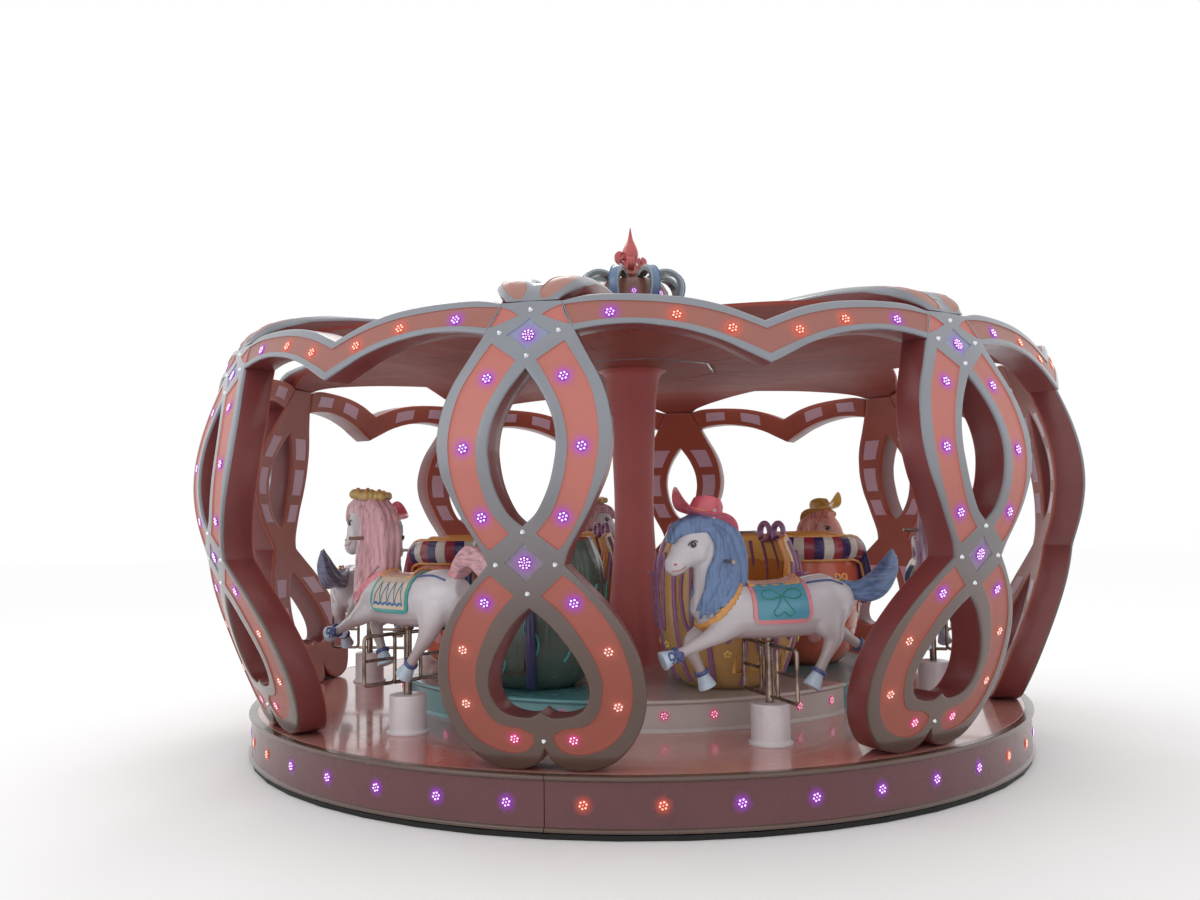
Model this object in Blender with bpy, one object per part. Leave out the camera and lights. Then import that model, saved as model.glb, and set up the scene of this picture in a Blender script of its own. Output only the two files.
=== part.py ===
"""Children's crown carousel: a turning platform under eight crown-shaped columns.

Metres, +Z up, origin at the middle of the base on the ground. Azimuths are in degrees,
0 towards -Y (the front column) and growing towards +X.
"""
import math

import bmesh
import bpy
from mathutils import Matrix, Vector

# Driving dimensions
GAP = 0.0003
COLUMN_COUNT = 8
HORSE_COUNT = 6
CHARIOT_COUNT = 6
SKIRT_PANEL_COUNT = 4
DECK_TOP = 0.307
DECK_THICKNESS = 0.060
DECK_RADIUS = 2.660
RIM_SIDES = 48
SKIRT_RADIUS = 2.700
DAIS_RADIUS = 1.720
DAIS_TOP = 0.495
CROWN_RADIUS = 3.085
CROWN_WIDEST_HEIGHT = 1.746
CROWN_FLARE = 0.44
CROWN_ROUNDING = 0.495
SHELL_DEPTH = 0.187
HUB_APOTHEM = 0.600
HUB_UNDERSIDE = 2.650
HUB_TOP = 3.120
HORSE_RADIUS = 2.110
LOW_PHASE = -0.055
HIGH_PHASE = -0.010
HEAD_LIFTS = (0.0, 0.09, 0.04, 0.09, 0.0, 0.09)
CHARIOT_RADIUS = 1.250
CHARIOT_FIRST = 38.0
POLE_RADIUS = 0.024

COLUMN_STEP = 360.0 / COLUMN_COUNT
HORSE_AZIMUTHS = [30.0 + 60.0 * k for k in range(HORSE_COUNT)]
CHARIOT_AZIMUTHS = [CHARIOT_FIRST + 60.0 * k for k in range(CHARIOT_COUNT)]


for old in list(bpy.data.objects):
    bpy.data.objects.remove(old, do_unlink=True)


# General shape helpers
def finish_object(name, mesh, color, roughness=0.4, metallic=0.0, sharp_deg=32.0):
    """Link a mesh as a named object with its own material."""
    material = bpy.data.materials.new(name + "_finish")
    material.use_nodes = True
    shader = material.node_tree.nodes["Principled BSDF"]
    shader.inputs["Base Color"].default_value = (*color, 1.0)
    shader.inputs["Roughness"].default_value = roughness
    shader.inputs["Metallic"].default_value = metallic
    if not mesh.materials:
        mesh.materials.append(material)
    mesh.shade_smooth()
    mesh.set_sharp_from_angle(angle=math.radians(sharp_deg))
    obj = bpy.data.objects.new(name, mesh)
    bpy.context.scene.collection.objects.link(obj)
    obj.material_slots[0].link = "OBJECT"
    obj.material_slots[0].material = material
    return obj


def mesh_from(name, vertices, faces):
    """A mesh whose faces all point outwards."""
    mesh = bpy.data.meshes.new(name)
    mesh.from_pydata([tuple(v) for v in vertices], [], faces)
    bm = bmesh.new()
    bm.from_mesh(mesh)
    bmesh.ops.recalc_face_normals(bm, faces=bm.faces)
    bm.to_mesh(mesh)
    bm.free()
    return mesh


def polar(azimuth_deg, radius, height):
    angle = math.radians(azimuth_deg)
    return Vector((radius * math.sin(angle), -radius * math.cos(angle), height))


def filled_plan(loops):
    """Triangles that fill a flat outline (the first loop) around its holes (the others)."""
    bm = bmesh.new()
    for loop in loops:
        corners = [bm.verts.new((a, b, 0.0)) for a, b in loop]
        for i, corner in enumerate(corners):
            bm.edges.new((corner, corners[(i + 1) % len(corners)]))
    bm.verts.index_update()
    bmesh.ops.triangle_fill(bm, edges=bm.edges[:], use_beauty=True, normal=(0.0, 0.0, 1.0))
    triangles = [[v.index for v in face.verts] for face in bm.faces]
    bm.free()
    return triangles


def slab(name, loops, front, back):
    """A solid between two surfaces: front and back turn a flat outline point into a place."""
    triangles = filled_plan(loops)
    flat = [point for loop in loops for point in loop]
    vertices = [front(a, b) for a, b in flat] + [back(a, b) for a, b in flat]
    count = len(flat)
    faces = [tuple(t) for t in triangles] + [tuple(i + count for i in reversed(t)) for t in triangles]
    start = 0
    for loop in loops:
        for i in range(len(loop)):
            a = start + i
            b = start + (i + 1) % len(loop)
            # Both neighbours of a seam split its twisted sides the same way: high front to low back
            if flat[a][1] > flat[b][1]:
                faces += [(a, b, b + count), (a, b + count, a + count)]
            else:
                faces += [(a, b, a + count), (b, b + count, a + count)]
        start += len(loop)
    return mesh_from(name, vertices, faces)


def turned(name, profile, sides, first_azimuth=0.0, sweep=360.0):
    """A solid turned about the Z axis from (radius, height) points, or a closed part of one."""
    whole = sweep >= 360.0
    rings = sides if whole else sides + 1
    vertices = []
    index = {}
    for ring in range(rings):
        for k, (radius, height) in enumerate(profile):
            if radius < 1e-6 and ring > 0:
                index[ring, k] = index[0, k]
                continue
            index[ring, k] = len(vertices)
            vertices.append(polar(first_azimuth + sweep * ring / sides, radius, height))
    faces = []
    count = len(profile)
    for ring in range(sides):
        after = (ring + 1) % rings
        for k in range(count):
            nxt = (k + 1) % count
            corners = [index[ring, k], index[after, k], index[after, nxt], index[ring, nxt]]
            unique = list(dict.fromkeys(corners))
            if len(unique) > 2:
                faces.append(tuple(unique))
    if not whole:
        faces.append(tuple(index[0, k] for k in range(count)))
        faces.append(tuple(index[sides, k] for k in range(count)))
    return mesh_from(name, vertices, faces)


def box_mesh(name, low, high):
    corners = [(x, y, z) for x in (low[0], high[0]) for y in (low[1], high[1]) for z in (low[2], high[2])]
    faces = [(0, 1, 3, 2), (4, 6, 7, 5), (0, 4, 5, 1), (2, 3, 7, 6), (0, 2, 6, 4), (1, 5, 7, 3)]
    return mesh_from(name, corners, faces)


def combined(name, base, others, operation="UNION"):
    """One closed mesh from a base mesh and others, joined or cut with exact booleans."""
    target = bpy.data.objects.new(name + "_work", base)
    bpy.context.scene.collection.objects.link(target)
    helpers = []
    for i, other in enumerate(others):
        helper = bpy.data.objects.new(f"{name}_helper_{i}", other)
        bpy.context.scene.collection.objects.link(helper)
        helpers.append(helper)
        modifier = target.modifiers.new("combine", "BOOLEAN")
        modifier.operation = operation
        modifier.solver = "EXACT"
        modifier.object = helper
    bpy.context.view_layer.update()
    evaluated = target.evaluated_get(bpy.context.evaluated_depsgraph_get())
    result = bpy.data.meshes.new_from_object(evaluated)
    result.name = name
    for obj in [target] + helpers:
        bpy.data.objects.remove(obj, do_unlink=True)
    bm = bmesh.new()
    bm.from_mesh(result)
    bmesh.ops.remove_doubles(bm, verts=bm.verts, dist=0.00005)
    bmesh.ops.dissolve_degenerate(bm, edges=bm.edges, dist=0.00005)
    bm.to_mesh(result)
    bm.free()
    result.materials.clear()
    return result


# The crown's outer face: one surface of revolution that columns and arches are cut from
def crown_radius(height):
    rise = height - CROWN_WIDEST_HEIGHT
    return CROWN_RADIUS - CROWN_FLARE * (math.hypot(rise, CROWN_ROUNDING) - CROWN_ROUNDING)


def crown_front(arc_deg, height):
    return polar(arc_deg, crown_radius(height), height)


def crown_back(arc_deg, height):
    return polar(arc_deg, crown_radius(height) - SHELL_DEPTH, height)


def mirrored(half):
    """Close a right-hand outline (top to bottom, ends on the middle line) by its mirror image."""
    left = [(-a, b) for a, b in reversed(half) if a > 1e-6]
    return list(half) + left


# Base frame: the fixed ring on the ground, its cross beams and the bearing post
BASE_RING_TOP = 0.026
BASE_RING_WIDTH = 0.180
BASE_RING_RADIUS = 2.700
BEAM_TOP = 0.060
BEAM_HALF_WIDTH = 0.080
BEARING_RADIUS = 0.340
BEARING_GAP = 0.0005
PIN_RADIUS = 0.0985
PIN_TOP = 0.300
BUSH_RADIUS = 0.100
DECK_UNDERSIDE = DECK_TOP - DECK_THICKNESS


def build_base_frame():
    inner = BASE_RING_RADIUS - BASE_RING_WIDTH
    ring = turned("ring", [(inner, 0.0), (BASE_RING_RADIUS, 0.0),
                           (BASE_RING_RADIUS, BASE_RING_TOP), (inner, BASE_RING_TOP)], RIM_SIDES)
    reach = BASE_RING_RADIUS - 0.5 * BASE_RING_WIDTH
    beam_a = box_mesh("beam_a", (-reach, -BEAM_HALF_WIDTH, 0.0), (reach, BEAM_HALF_WIDTH, BEAM_TOP))
    beam_b = box_mesh("beam_b", (-BEAM_HALF_WIDTH, -reach, 0.0), (BEAM_HALF_WIDTH, reach, BEAM_TOP))
    shoulder = DECK_UNDERSIDE - BEARING_GAP
    post = turned("post", [(0.0, PIN_TOP), (PIN_RADIUS, PIN_TOP), (PIN_RADIUS, shoulder),
                           (BEARING_RADIUS, shoulder), (BEARING_RADIUS, 0.0), (0.0, 0.0)], 24)
    mesh = combined("base_frame", ring, [beam_a, beam_b, post])
    finish_object("base_frame", mesh, (0.03, 0.03, 0.03), 0.6, 0.6)


# Deck: the turning floor, with a bush in the middle and a hole under each horse
DECK_HOLE_RADIUS = 0.034


def circle_points(radius, sides, centre=(0.0, 0.0)):
    return [(centre[0] + radius * math.sin(2.0 * math.pi * k / sides),
             centre[1] - radius * math.cos(2.0 * math.pi * k / sides)) for k in range(sides)]


def build_deck():
    loops = [circle_points(DECK_RADIUS, RIM_SIDES), circle_points(BUSH_RADIUS, 24)]
    for azimuth in HORSE_AZIMUTHS:
        place = polar(azimuth, HORSE_RADIUS, 0.0)
        loops.append(circle_points(DECK_HOLE_RADIUS, 8, (place.x, place.y)))
    mesh = slab("deck", loops, lambda x, y: Vector((x, y, DECK_TOP)),
                lambda x, y: Vector((x, y, DECK_UNDERSIDE)))
    finish_object("deck", mesh, (0.50, 0.42, 0.42), 0.15)


# Skirt: four quarter panels with a rounded lip above and below
SKIRT_BOTTOM = 0.032
LIP_REACH = 0.018
LIP_HEIGHT = 0.024


def build_skirt_panels():
    inner = DECK_RADIUS + GAP
    top = DECK_TOP
    lip = SKIRT_RADIUS + LIP_REACH
    profile = [
        (inner, top), (lip - 0.008, top), (lip, top - 0.5 * LIP_HEIGHT), (SKIRT_RADIUS, top - LIP_HEIGHT),
        (SKIRT_RADIUS, SKIRT_BOTTOM + LIP_HEIGHT), (lip, SKIRT_BOTTOM + 0.5 * LIP_HEIGHT),
        (lip - 0.008, SKIRT_BOTTOM), (inner, SKIRT_BOTTOM),
    ]
    sweep = 360.0 / SKIRT_PANEL_COUNT
    seam = math.degrees(0.5 * GAP / SKIRT_RADIUS)
    sides = RIM_SIDES // SKIRT_PANEL_COUNT
    for k in range(SKIRT_PANEL_COUNT):
        mesh = turned(f"skirt_panel_{k + 1}", profile, sides, k * sweep + seam, sweep - 2.0 * seam)
        finish_object(f"skirt_panel_{k + 1}", mesh, (0.18, 0.06, 0.07), 0.35)


# Dais: the raised inner floor that carries the chariots
def build_dais():
    bottom = DECK_TOP + GAP
    profile = [(0.0, DAIS_TOP), (DAIS_RADIUS, DAIS_TOP), (DAIS_RADIUS, DAIS_TOP - 0.02),
               (DAIS_RADIUS - 0.012, DAIS_TOP - 0.03), (DAIS_RADIUS - 0.012, bottom), (0.0, bottom)]
    finish_object("dais", turned("dais", profile, 36), (0.55, 0.5, 0.5), 0.25)


# Centre column: turned, waisted at eye height and flared at both ends
def build_centre_column():
    top = HUB_UNDERSIDE - GAP
    bottom = DAIS_TOP + GAP
    profile = [(0.0, top), (0.215, top), (0.184, 2.50), (0.160, 2.15), (0.145, 1.70), (0.160, 1.30),
               (0.200, 0.85), (0.236, bottom), (0.0, bottom)]
    finish_object("centre_column", turned("centre_column", profile, 20), (0.35, 0.09, 0.09), 0.3)


# Crown columns: an almond loop over a spade loop, standing on two rounded feet
NODE_TOP = 2.605
SEAM_TOP_HEIGHT = 2.600
SEAM_TOP_DEG = 3.0
SEAM_BOTTOM_HEIGHT = 2.443
SEAM_BOTTOM_DEG = 4.4
SEAM_TOP = (math.radians(SEAM_TOP_DEG) * crown_radius(SEAM_TOP_HEIGHT), SEAM_TOP_HEIGHT)
SEAM_BOTTOM = (math.radians(SEAM_BOTTOM_DEG) * crown_radius(SEAM_BOTTOM_HEIGHT), SEAM_BOTTOM_HEIGHT)
WAIST = (0.187, 1.335)
CLEFT = (0.0, 0.420)
ALMOND_EDGE = [SEAM_BOTTOM, (0.300, 2.310), (0.366, 2.190), (0.408, 2.070), (0.427, 1.920), (0.404, 1.775),
               (0.352, 1.655), (0.295, 1.545), (0.215, 1.410), WAIST]
SPADE_EDGE = [WAIST, (0.290, 1.228), (0.400, 1.100), (0.485, 0.920), (0.522, 0.720), (0.480, 0.530),
              (0.360, 0.380), (0.200, DECK_TOP + GAP), (0.070, 0.335), CLEFT]
ALMOND_OPENING = [(0.0, 2.257), (0.088, 2.135), (0.142, 2.010), (0.163, 1.905), (0.156, 1.810),
                  (0.128, 1.700), (0.070, 1.590), (0.0, 1.517)]
SPADE_OPENING = [(0.0, 1.140), (0.090, 1.050), (0.160, 0.955), (0.214, 0.860), (0.246, 0.765),
                 (0.246, 0.690), (0.210, 0.625), (0.150, 0.597), (0.060, 0.590), (0.0, 0.620)]


def column_outline():
    floor = DECK_TOP + GAP
    right = [(0.0, NODE_TOP), SEAM_TOP] + ALMOND_EDGE + SPADE_EDGE[1:]
    return mirrored([(s, max(z, floor)) for s, z in right])


def build_crown_columns():
    loops = [column_outline(), mirrored(ALMOND_OPENING), mirrored(SPADE_OPENING)]

    def front(s, z):
        return crown_front(math.degrees(s / crown_radius(z)), z)

    def back(s, z):
        return crown_back(math.degrees(s / crown_radius(z)), z)

    mesh = slab("crown_column", loops, front, back)
    for k in range(COLUMN_COUNT):
        column = finish_object(f"crown_column_{k + 1}", mesh, (0.50, 0.12, 0.10), 0.35)
        column.rotation_euler.z = math.radians(k * COLUMN_STEP)


# Arch bands: a cupid's bow between two columns, in the same crown face
ARCH_TOP = [(SEAM_TOP_DEG, SEAM_TOP_HEIGHT), (6.0, 2.627), (9.5, 2.628), (13.5, 2.620), (16.5, 2.598),
            (19.5, 2.548), (0.5 * COLUMN_STEP, 2.487)]
ARCH_UNDER = [(0.5 * COLUMN_STEP, 2.273), (20.5, 2.324), (18.0, 2.385), (15.0, 2.438), (12.0, 2.463),
              (9.0, 2.470), (6.5, 2.462), (SEAM_BOTTOM_DEG, SEAM_BOTTOM_HEIGHT)]


def build_arch_bands():
    seam = math.degrees(GAP / CROWN_RADIUS)
    top = [(SEAM_TOP_DEG + seam, SEAM_TOP_HEIGHT)] + ARCH_TOP[1:]
    under = ARCH_UNDER[:-1] + [(SEAM_BOTTOM_DEG + seam, SEAM_BOTTOM_HEIGHT)]
    right_top = [(COLUMN_STEP - a, z) for a, z in reversed(top[:-1])]
    right_under = [(COLUMN_STEP - a, z) for a, z in reversed(under[1:])]
    outline = top + right_top + right_under + under
    mesh = slab("arch_band", [outline], crown_front, crown_back)
    for k in range(COLUMN_COUNT):
        band = finish_object(f"arch_band_{k + 1}", mesh, (0.50, 0.12, 0.10), 0.35)
        band.rotation_euler.z = math.radians(k * COLUMN_STEP)


# Roof ribs: from each column's top over to the hub, two bowed straps with a long groove between them, on a thin
# web that widens inwards until it meets the next rib's.
# Each station is (top radius, top height, underside radius, underside height, half width, groove half width)
RIB_FOOT = NODE_TOP + GAP
RIB_STATIONS = [
    (2.866, RIB_FOOT, 2.682, RIB_FOOT, 0.130, 0.020),
    (2.842, 2.668, 2.640, 2.632, 0.178, 0.025),
    (2.760, 2.738, 2.560, 2.658, 0.228, 0.030),
    (2.580, 2.790, 2.440, 2.678, 0.250, 0.048),
    (2.300, 2.826, 2.250, 2.696, 0.256, 0.060),
    (1.950, 2.842, 1.950, 2.704, 0.256, 0.063),
    (1.700, 2.845, 1.700, 2.694, 0.254, 0.062),
    (1.500, 2.845, 1.500, 2.672, 0.250, 0.056),
    (1.100, 2.848, 1.100, 2.654, 0.236, 0.040),
    (0.850, 2.860, 0.850, 2.652, 0.222, 0.024),
    (HUB_APOTHEM + GAP, 2.876, HUB_APOTHEM + GAP, 2.652, 0.205, 0.016),
]
# A strap's outer edge lies lower than its ridge by this share of the rib's depth, station by station
STRAP_BOW = [0.0, 0.25, 0.35] + [0.30] * 8
GROOVE_EDGE_SHARE = 0.4
GROOVE_FROM = 2
GROOVE_TO = 9
# How far the web reaches sideways; from the sixth station inwards it fills the rib's eighth of the roof
WEB_REACH = [0.140, 0.200, 0.300, 0.420, 0.580]
WEB_TOP_SHARE = 0.84


def build_roof_ribs():
    vertices = []
    top_row, floor_row, under_row = [], [], []
    eighth = math.tan(math.radians(0.5 * COLUMN_STEP))
    for s, ((top_r, top_z, low_r, low_z, half, groove), bow) in enumerate(zip(RIB_STATIONS, STRAP_BOW)):
        ridge = 0.5 * (half + groove)
        web = WEB_REACH[s] if s < len(WEB_REACH) else low_r * eighth - GAP
        shares = {web: WEB_TOP_SHARE, half: bow, ridge: 0.0, groove: GROOVE_EDGE_SHARE * bow}
        columns = [-web, -half, -ridge, -groove, groove, ridge, half, web]

        def row(points):
            first = len(vertices)
            for across, share in points:
                vertices.append((across, -(top_r + (low_r - top_r) * share), top_z + (low_z - top_z) * share))
            return list(range(first, len(vertices)))

        top_row.append(row([(across, shares[abs(across)]) for across in columns]))
        under_row.append(row([(across, 1.0) for across in columns]))
        grooved = GROOVE_FROM <= s <= GROOVE_TO
        floor_row.append(row([(-groove, WEB_TOP_SHARE), (groove, WEB_TOP_SHARE)]) if grooved else [])

    faces = []

    def strip(row, following):
        for i in range(len(row) - 1):
            faces.append((row[i], row[i + 1], following[i + 1], following[i]))

    last = len(RIB_STATIONS) - 1
    left = len(top_row[0]) // 2 - 1
    for s in range(last):
        if GROOVE_FROM <= s < GROOVE_TO:
            strip(top_row[s][:left + 1], top_row[s + 1][:left + 1])
            strip(top_row[s][left + 1:], top_row[s + 1][left + 1:])
            strip(floor_row[s], floor_row[s + 1])
            for side in (0, 1):
                faces.append((top_row[s][left + side], top_row[s + 1][left + side],
                              floor_row[s + 1][side], floor_row[s][side]))
        else:
            strip(top_row[s], top_row[s + 1])
        strip(under_row[s], under_row[s + 1])
        for edge in (0, -1):
            faces.append((top_row[s][edge], top_row[s + 1][edge], under_row[s + 1][edge], under_row[s][edge]))
    for s in (0, last):
        strip(top_row[s], under_row[s])
    for s in (GROOVE_FROM, GROOVE_TO):
        strip(top_row[s][left:left + 2], floor_row[s])
    mesh = mesh_from("roof_rib", vertices, faces)
    for k in range(COLUMN_COUNT):
        rib = finish_object(f"roof_rib_{k + 1}", mesh, (0.45, 0.14, 0.12), 0.35)
        rib.rotation_euler.z = math.radians(k * COLUMN_STEP)


# Hub: the eight-sided block that the ribs meet, with the raised seat of the small crown
def build_hub():
    flat_to_corner = 1.0 / math.cos(math.pi / COLUMN_COUNT)
    profile = [(0.0, HUB_TOP), (0.400, HUB_TOP), (0.430, 3.050), (0.500, 2.960), (HUB_APOTHEM, 2.890),
               (HUB_APOTHEM, HUB_UNDERSIDE), (0.0, HUB_UNDERSIDE)]
    wide = [(r * flat_to_corner, z) for r, z in profile]
    mesh = turned("hub", wide, COLUMN_COUNT, 0.5 * COLUMN_STEP)
    finish_object("roof_hub", mesh, (0.40, 0.10, 0.10), 0.35, sharp_deg=20.0)


# Top crown: eight curled fins round a small dome
TOP_CROWN_FIRST = -8.5
FIN_COUNT = 8
FIN_HALF_THICKNESS = 0.034


def build_top_crown():
    base = HUB_TOP + GAP
    dome = turned("dome", [(0.0, 3.366), (0.085, 3.355), (0.20, 3.31), (0.27, 3.23), (0.30, base + 0.04),
                           (0.40, base + 0.03), (0.40, base), (0.0, base)], 16)
    half = [(0.330, base + 0.01), (0.392, 3.25), (0.380, 3.34), (0.310, 3.41), (0.220, 3.43),
            (0.140, 3.39), (0.080, 3.33)]
    fins = []
    for k in range(FIN_COUNT // 2):
        outline = [(-a, b) for a, b in half] + list(reversed(half))
        turn = Matrix.Rotation(math.radians(TOP_CROWN_FIRST + 360.0 / FIN_COUNT * k), 4, "Z")
        fins.append(slab(f"fin_{k}", [outline],
                         lambda a, b, m=turn: m @ Vector((-FIN_HALF_THICKNESS, a, b)),
                         lambda a, b, m=turn: m @ Vector((FIN_HALF_THICKNESS, a, b))))
    mesh = combined("top_crown", dome, fins)
    finish_object("top_crown", mesh, (0.16, 0.22, 0.34), 0.4)


# Finial: a flame on a bulb with four scroll leaves
FINIAL_BASE = 3.366 + GAP
FINIAL_TIP = 3.752


def build_finial():
    flame = turned("flame", [(0.0, FINIAL_TIP), (0.020, 3.690), (0.052, 3.610), (0.060, 3.560),
                             (0.040, 3.500), (0.052, 3.440), (0.058, 3.400), (0.045, FINIAL_BASE),
                             (0.0, FINIAL_BASE)], 10)
    leaf = [(-0.020, 3.415), (-0.085, 3.440), (-0.100, 3.490), (-0.070, 3.515), (-0.020, 3.480)]
    outline = leaf + [(-a, b) for a, b in reversed(leaf)]
    leaves = []
    for k in range(2):
        turn = Matrix.Rotation(math.radians(20.0 + 90.0 * k), 4, "Z")
        leaves.append(slab(f"leaf_{k}", [outline], lambda a, b, m=turn: m @ Vector((a, -0.016, b)),
                           lambda a, b, m=turn: m @ Vector((a, 0.016, b))))
    finish_object("finial", combined("finial", flame, leaves), (0.50, 0.09, 0.08), 0.3)


# Chariots: a tulip-shaped tub with two facing benches and a dip for stepping in
TUB_HALF_LENGTH = 0.490
TUB_HALF_WIDTH = 0.400
TUB_WALL = 0.045
TUB_PROFILE = [(0.56, 0.0), (0.80, 0.12), (0.945, 0.32), (1.00, 0.55), (0.98, 0.75), (0.84, 0.92)]
BENCH_HEIGHT = 0.300
WELL_HALF_LENGTH = 0.170
WELL_FLOOR = 0.110
DIP_RADIUS = 0.250
DIP_CENTRE = 0.790
DIP_SIDES = 12
TUB_SIDES = 12


def tub_ring(scale_length, scale_width, height):
    points = []
    for k in range(TUB_SIDES):
        angle = 2.0 * math.pi * (k + 0.5) / TUB_SIDES
        points.append((scale_length * math.cos(angle), scale_width * math.sin(angle), height))
    return points


def ring_stack(name, rings):
    count = len(rings[0])
    vertices = [p for ring in rings for p in ring]
    faces = [tuple(range(count)), tuple(range((len(rings) - 1) * count, len(rings) * count))]
    for i in range(len(rings) - 1):
        for k in range(count):
            nxt = (k + 1) % count
            faces.append((i * count + k, i * count + nxt, (i + 1) * count + nxt, (i + 1) * count + k))
    return mesh_from(name, vertices, faces)


def build_chariots():
    base = DAIS_TOP + GAP
    shell = ring_stack("shell", [
        tub_ring(TUB_HALF_LENGTH * f, TUB_HALF_WIDTH * f, base + h) for f, h in TUB_PROFILE])
    cavity = ring_stack("cavity", [
        tub_ring(TUB_HALF_LENGTH * f - TUB_WALL, TUB_HALF_WIDTH * f - TUB_WALL, base + h)
        for f, h in ((0.885, BENCH_HEIGHT), (0.985, 0.55), (0.965, 0.75), (0.80, 1.00))])
    well = box_mesh("well", (-WELL_HALF_LENGTH, -0.24, base + WELL_FLOOR),
                    (WELL_HALF_LENGTH, 0.24, base + BENCH_HEIGHT + 0.05))
    dip = slab("dip", [circle_points(DIP_RADIUS, DIP_SIDES, (0.0, base + DIP_CENTRE))],
               lambda a, b: Vector((a, -0.6, b)), lambda a, b: Vector((a, 0.6, b)))
    mesh = combined("chariot", shell, [cavity, well, dip], "DIFFERENCE")
    for k, azimuth in enumerate(CHARIOT_AZIMUTHS):
        chariot = finish_object(f"chariot_{k + 1}", mesh, (0.60, 0.38, 0.10), 0.35)
        chariot.location = polar(azimuth, CHARIOT_RADIUS, 0.0)
        chariot.rotation_euler.z = math.radians(azimuth)


# Sleeves: the flanged guide that each horse's pole slides in
SLEEVE_TOP = 0.531
SLEEVE_RADIUS = 0.108
FLANGE_RADIUS = 0.124
FLANGE_HEIGHT = 0.014
SLEEVE_BORE = POLE_RADIUS + 0.0014
SLEEVE_SIDES = 12
POLE_SIDES = 8


def build_sleeves():
    bottom = DECK_TOP + GAP
    ring = [(SLEEVE_BORE, SLEEVE_TOP), (SLEEVE_RADIUS, SLEEVE_TOP), (SLEEVE_RADIUS, bottom + FLANGE_HEIGHT),
            (FLANGE_RADIUS, bottom + FLANGE_HEIGHT), (FLANGE_RADIUS, bottom), (SLEEVE_BORE, bottom)]
    mesh = turned("sleeve", ring, SLEEVE_SIDES)
    for k, azimuth in enumerate(HORSE_AZIMUTHS):
        sleeve = finish_object(f"sleeve_{k + 1}", mesh, (0.75, 0.75, 0.75), 0.3)
        sleeve.location = polar(azimuth, HORSE_RADIUS, 0.0)
        sleeve.rotation_euler.z = math.radians(azimuth)


# Horses: prancing, on a pole with a foot ladder. Each limb is a list of rings
# (forward, height, sideways, half depth in the horse's plane, half width across it)
BODY = [(0.415, 1.128, 0.0, 0.085, 0.070), (0.280, 1.100, 0.0, 0.156, 0.136),
        (0.0, 1.086, 0.0, 0.152, 0.150), (-0.280, 1.108, 0.0, 0.166, 0.151),
        (-0.385, 1.122, 0.0, 0.160, 0.138), (-0.485, 1.155, 0.0, 0.075, 0.070)]
NECK = [(0.270, 1.100, 0.0, 0.150, 0.115), (0.305, 1.250, 0.0, 0.138, 0.112),
        (0.325, 1.400, 0.0, 0.135, 0.112), (0.345, 1.535, 0.0, 0.120, 0.100)]
HEAD = [(0.340, 1.560, 0.0, 0.085, 0.080), (0.420, 1.480, 0.0, 0.125, 0.100),
        (0.494, 1.406, 0.0, 0.095, 0.075), (0.556, 1.338, 0.0, 0.062, 0.052),
        (0.578, 1.312, 0.0, 0.045, 0.040)]
MANE = [(0.360, 1.600, 0.0, 0.045, 0.060), (0.240, 1.535, 0.0, 0.060, 0.075),
        (0.185, 1.400, 0.0, 0.055, 0.075), (0.180, 1.260, 0.0, 0.045, 0.060)]
TAIL_FLOWING = [(-0.450, 1.220, 0.0, 0.050, 0.040), (-0.580, 1.185, 0.0, 0.060, 0.055),
                (-0.710, 1.220, 0.0, 0.060, 0.055), (-0.790, 1.300, 0.0, 0.045, 0.040),
                (-0.820, 1.400, 0.0, 0.020, 0.020)]
TAIL_ARCHED = [(-0.420, 1.240, 0.0, 0.045, 0.045), (-0.500, 1.320, 0.0, 0.055, 0.050),
               (-0.600, 1.360, 0.0, 0.060, 0.055), (-0.700, 1.310, 0.0, 0.055, 0.050),
               (-0.770, 1.190, 0.0, 0.040, 0.040), (-0.790, 1.080, 0.0, 0.020, 0.020)]
FORE_RAISED = [(0.235, 1.060, 0.075, 0.100, 0.062), (0.420, 0.950, 0.090, 0.043, 0.042),
               (0.600, 0.878, 0.090, 0.031, 0.030), (0.668, 0.852, 0.090, 0.052, 0.048)]
FORE_FOLDED = [(0.235, 1.050, -0.075, 0.100, 0.062), (0.425, 0.925, -0.090, 0.044, 0.042),
               (0.385, 0.795, -0.090, 0.030, 0.030), (0.332, 0.676, -0.090, 0.052, 0.048)]
HIND_UNDER = [(-0.330, 1.095, 0.075, 0.140, 0.075), (-0.350, 0.935, 0.090, 0.062, 0.052),
              (-0.270, 0.775, 0.090, 0.031, 0.031), (-0.206, 0.670, 0.090, 0.052, 0.048)]
HIND_REACHING = [(-0.330, 1.095, 0.075, 0.140, 0.075), (-0.300, 0.935, 0.090, 0.062, 0.052),
                 (-0.185, 0.790, 0.090, 0.031, 0.031), (-0.100, 0.690, 0.090, 0.052, 0.048)]
HIND_BACK = [(-0.345, 1.090, -0.075, 0.140, 0.075), (-0.470, 0.955, -0.090, 0.056, 0.048),
             (-0.600, 0.878, -0.090, 0.030, 0.030), (-0.702, 0.815, -0.090, 0.052, 0.048)]
NECK_ROOT = 1.120
NECK_RUN = 0.300
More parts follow.
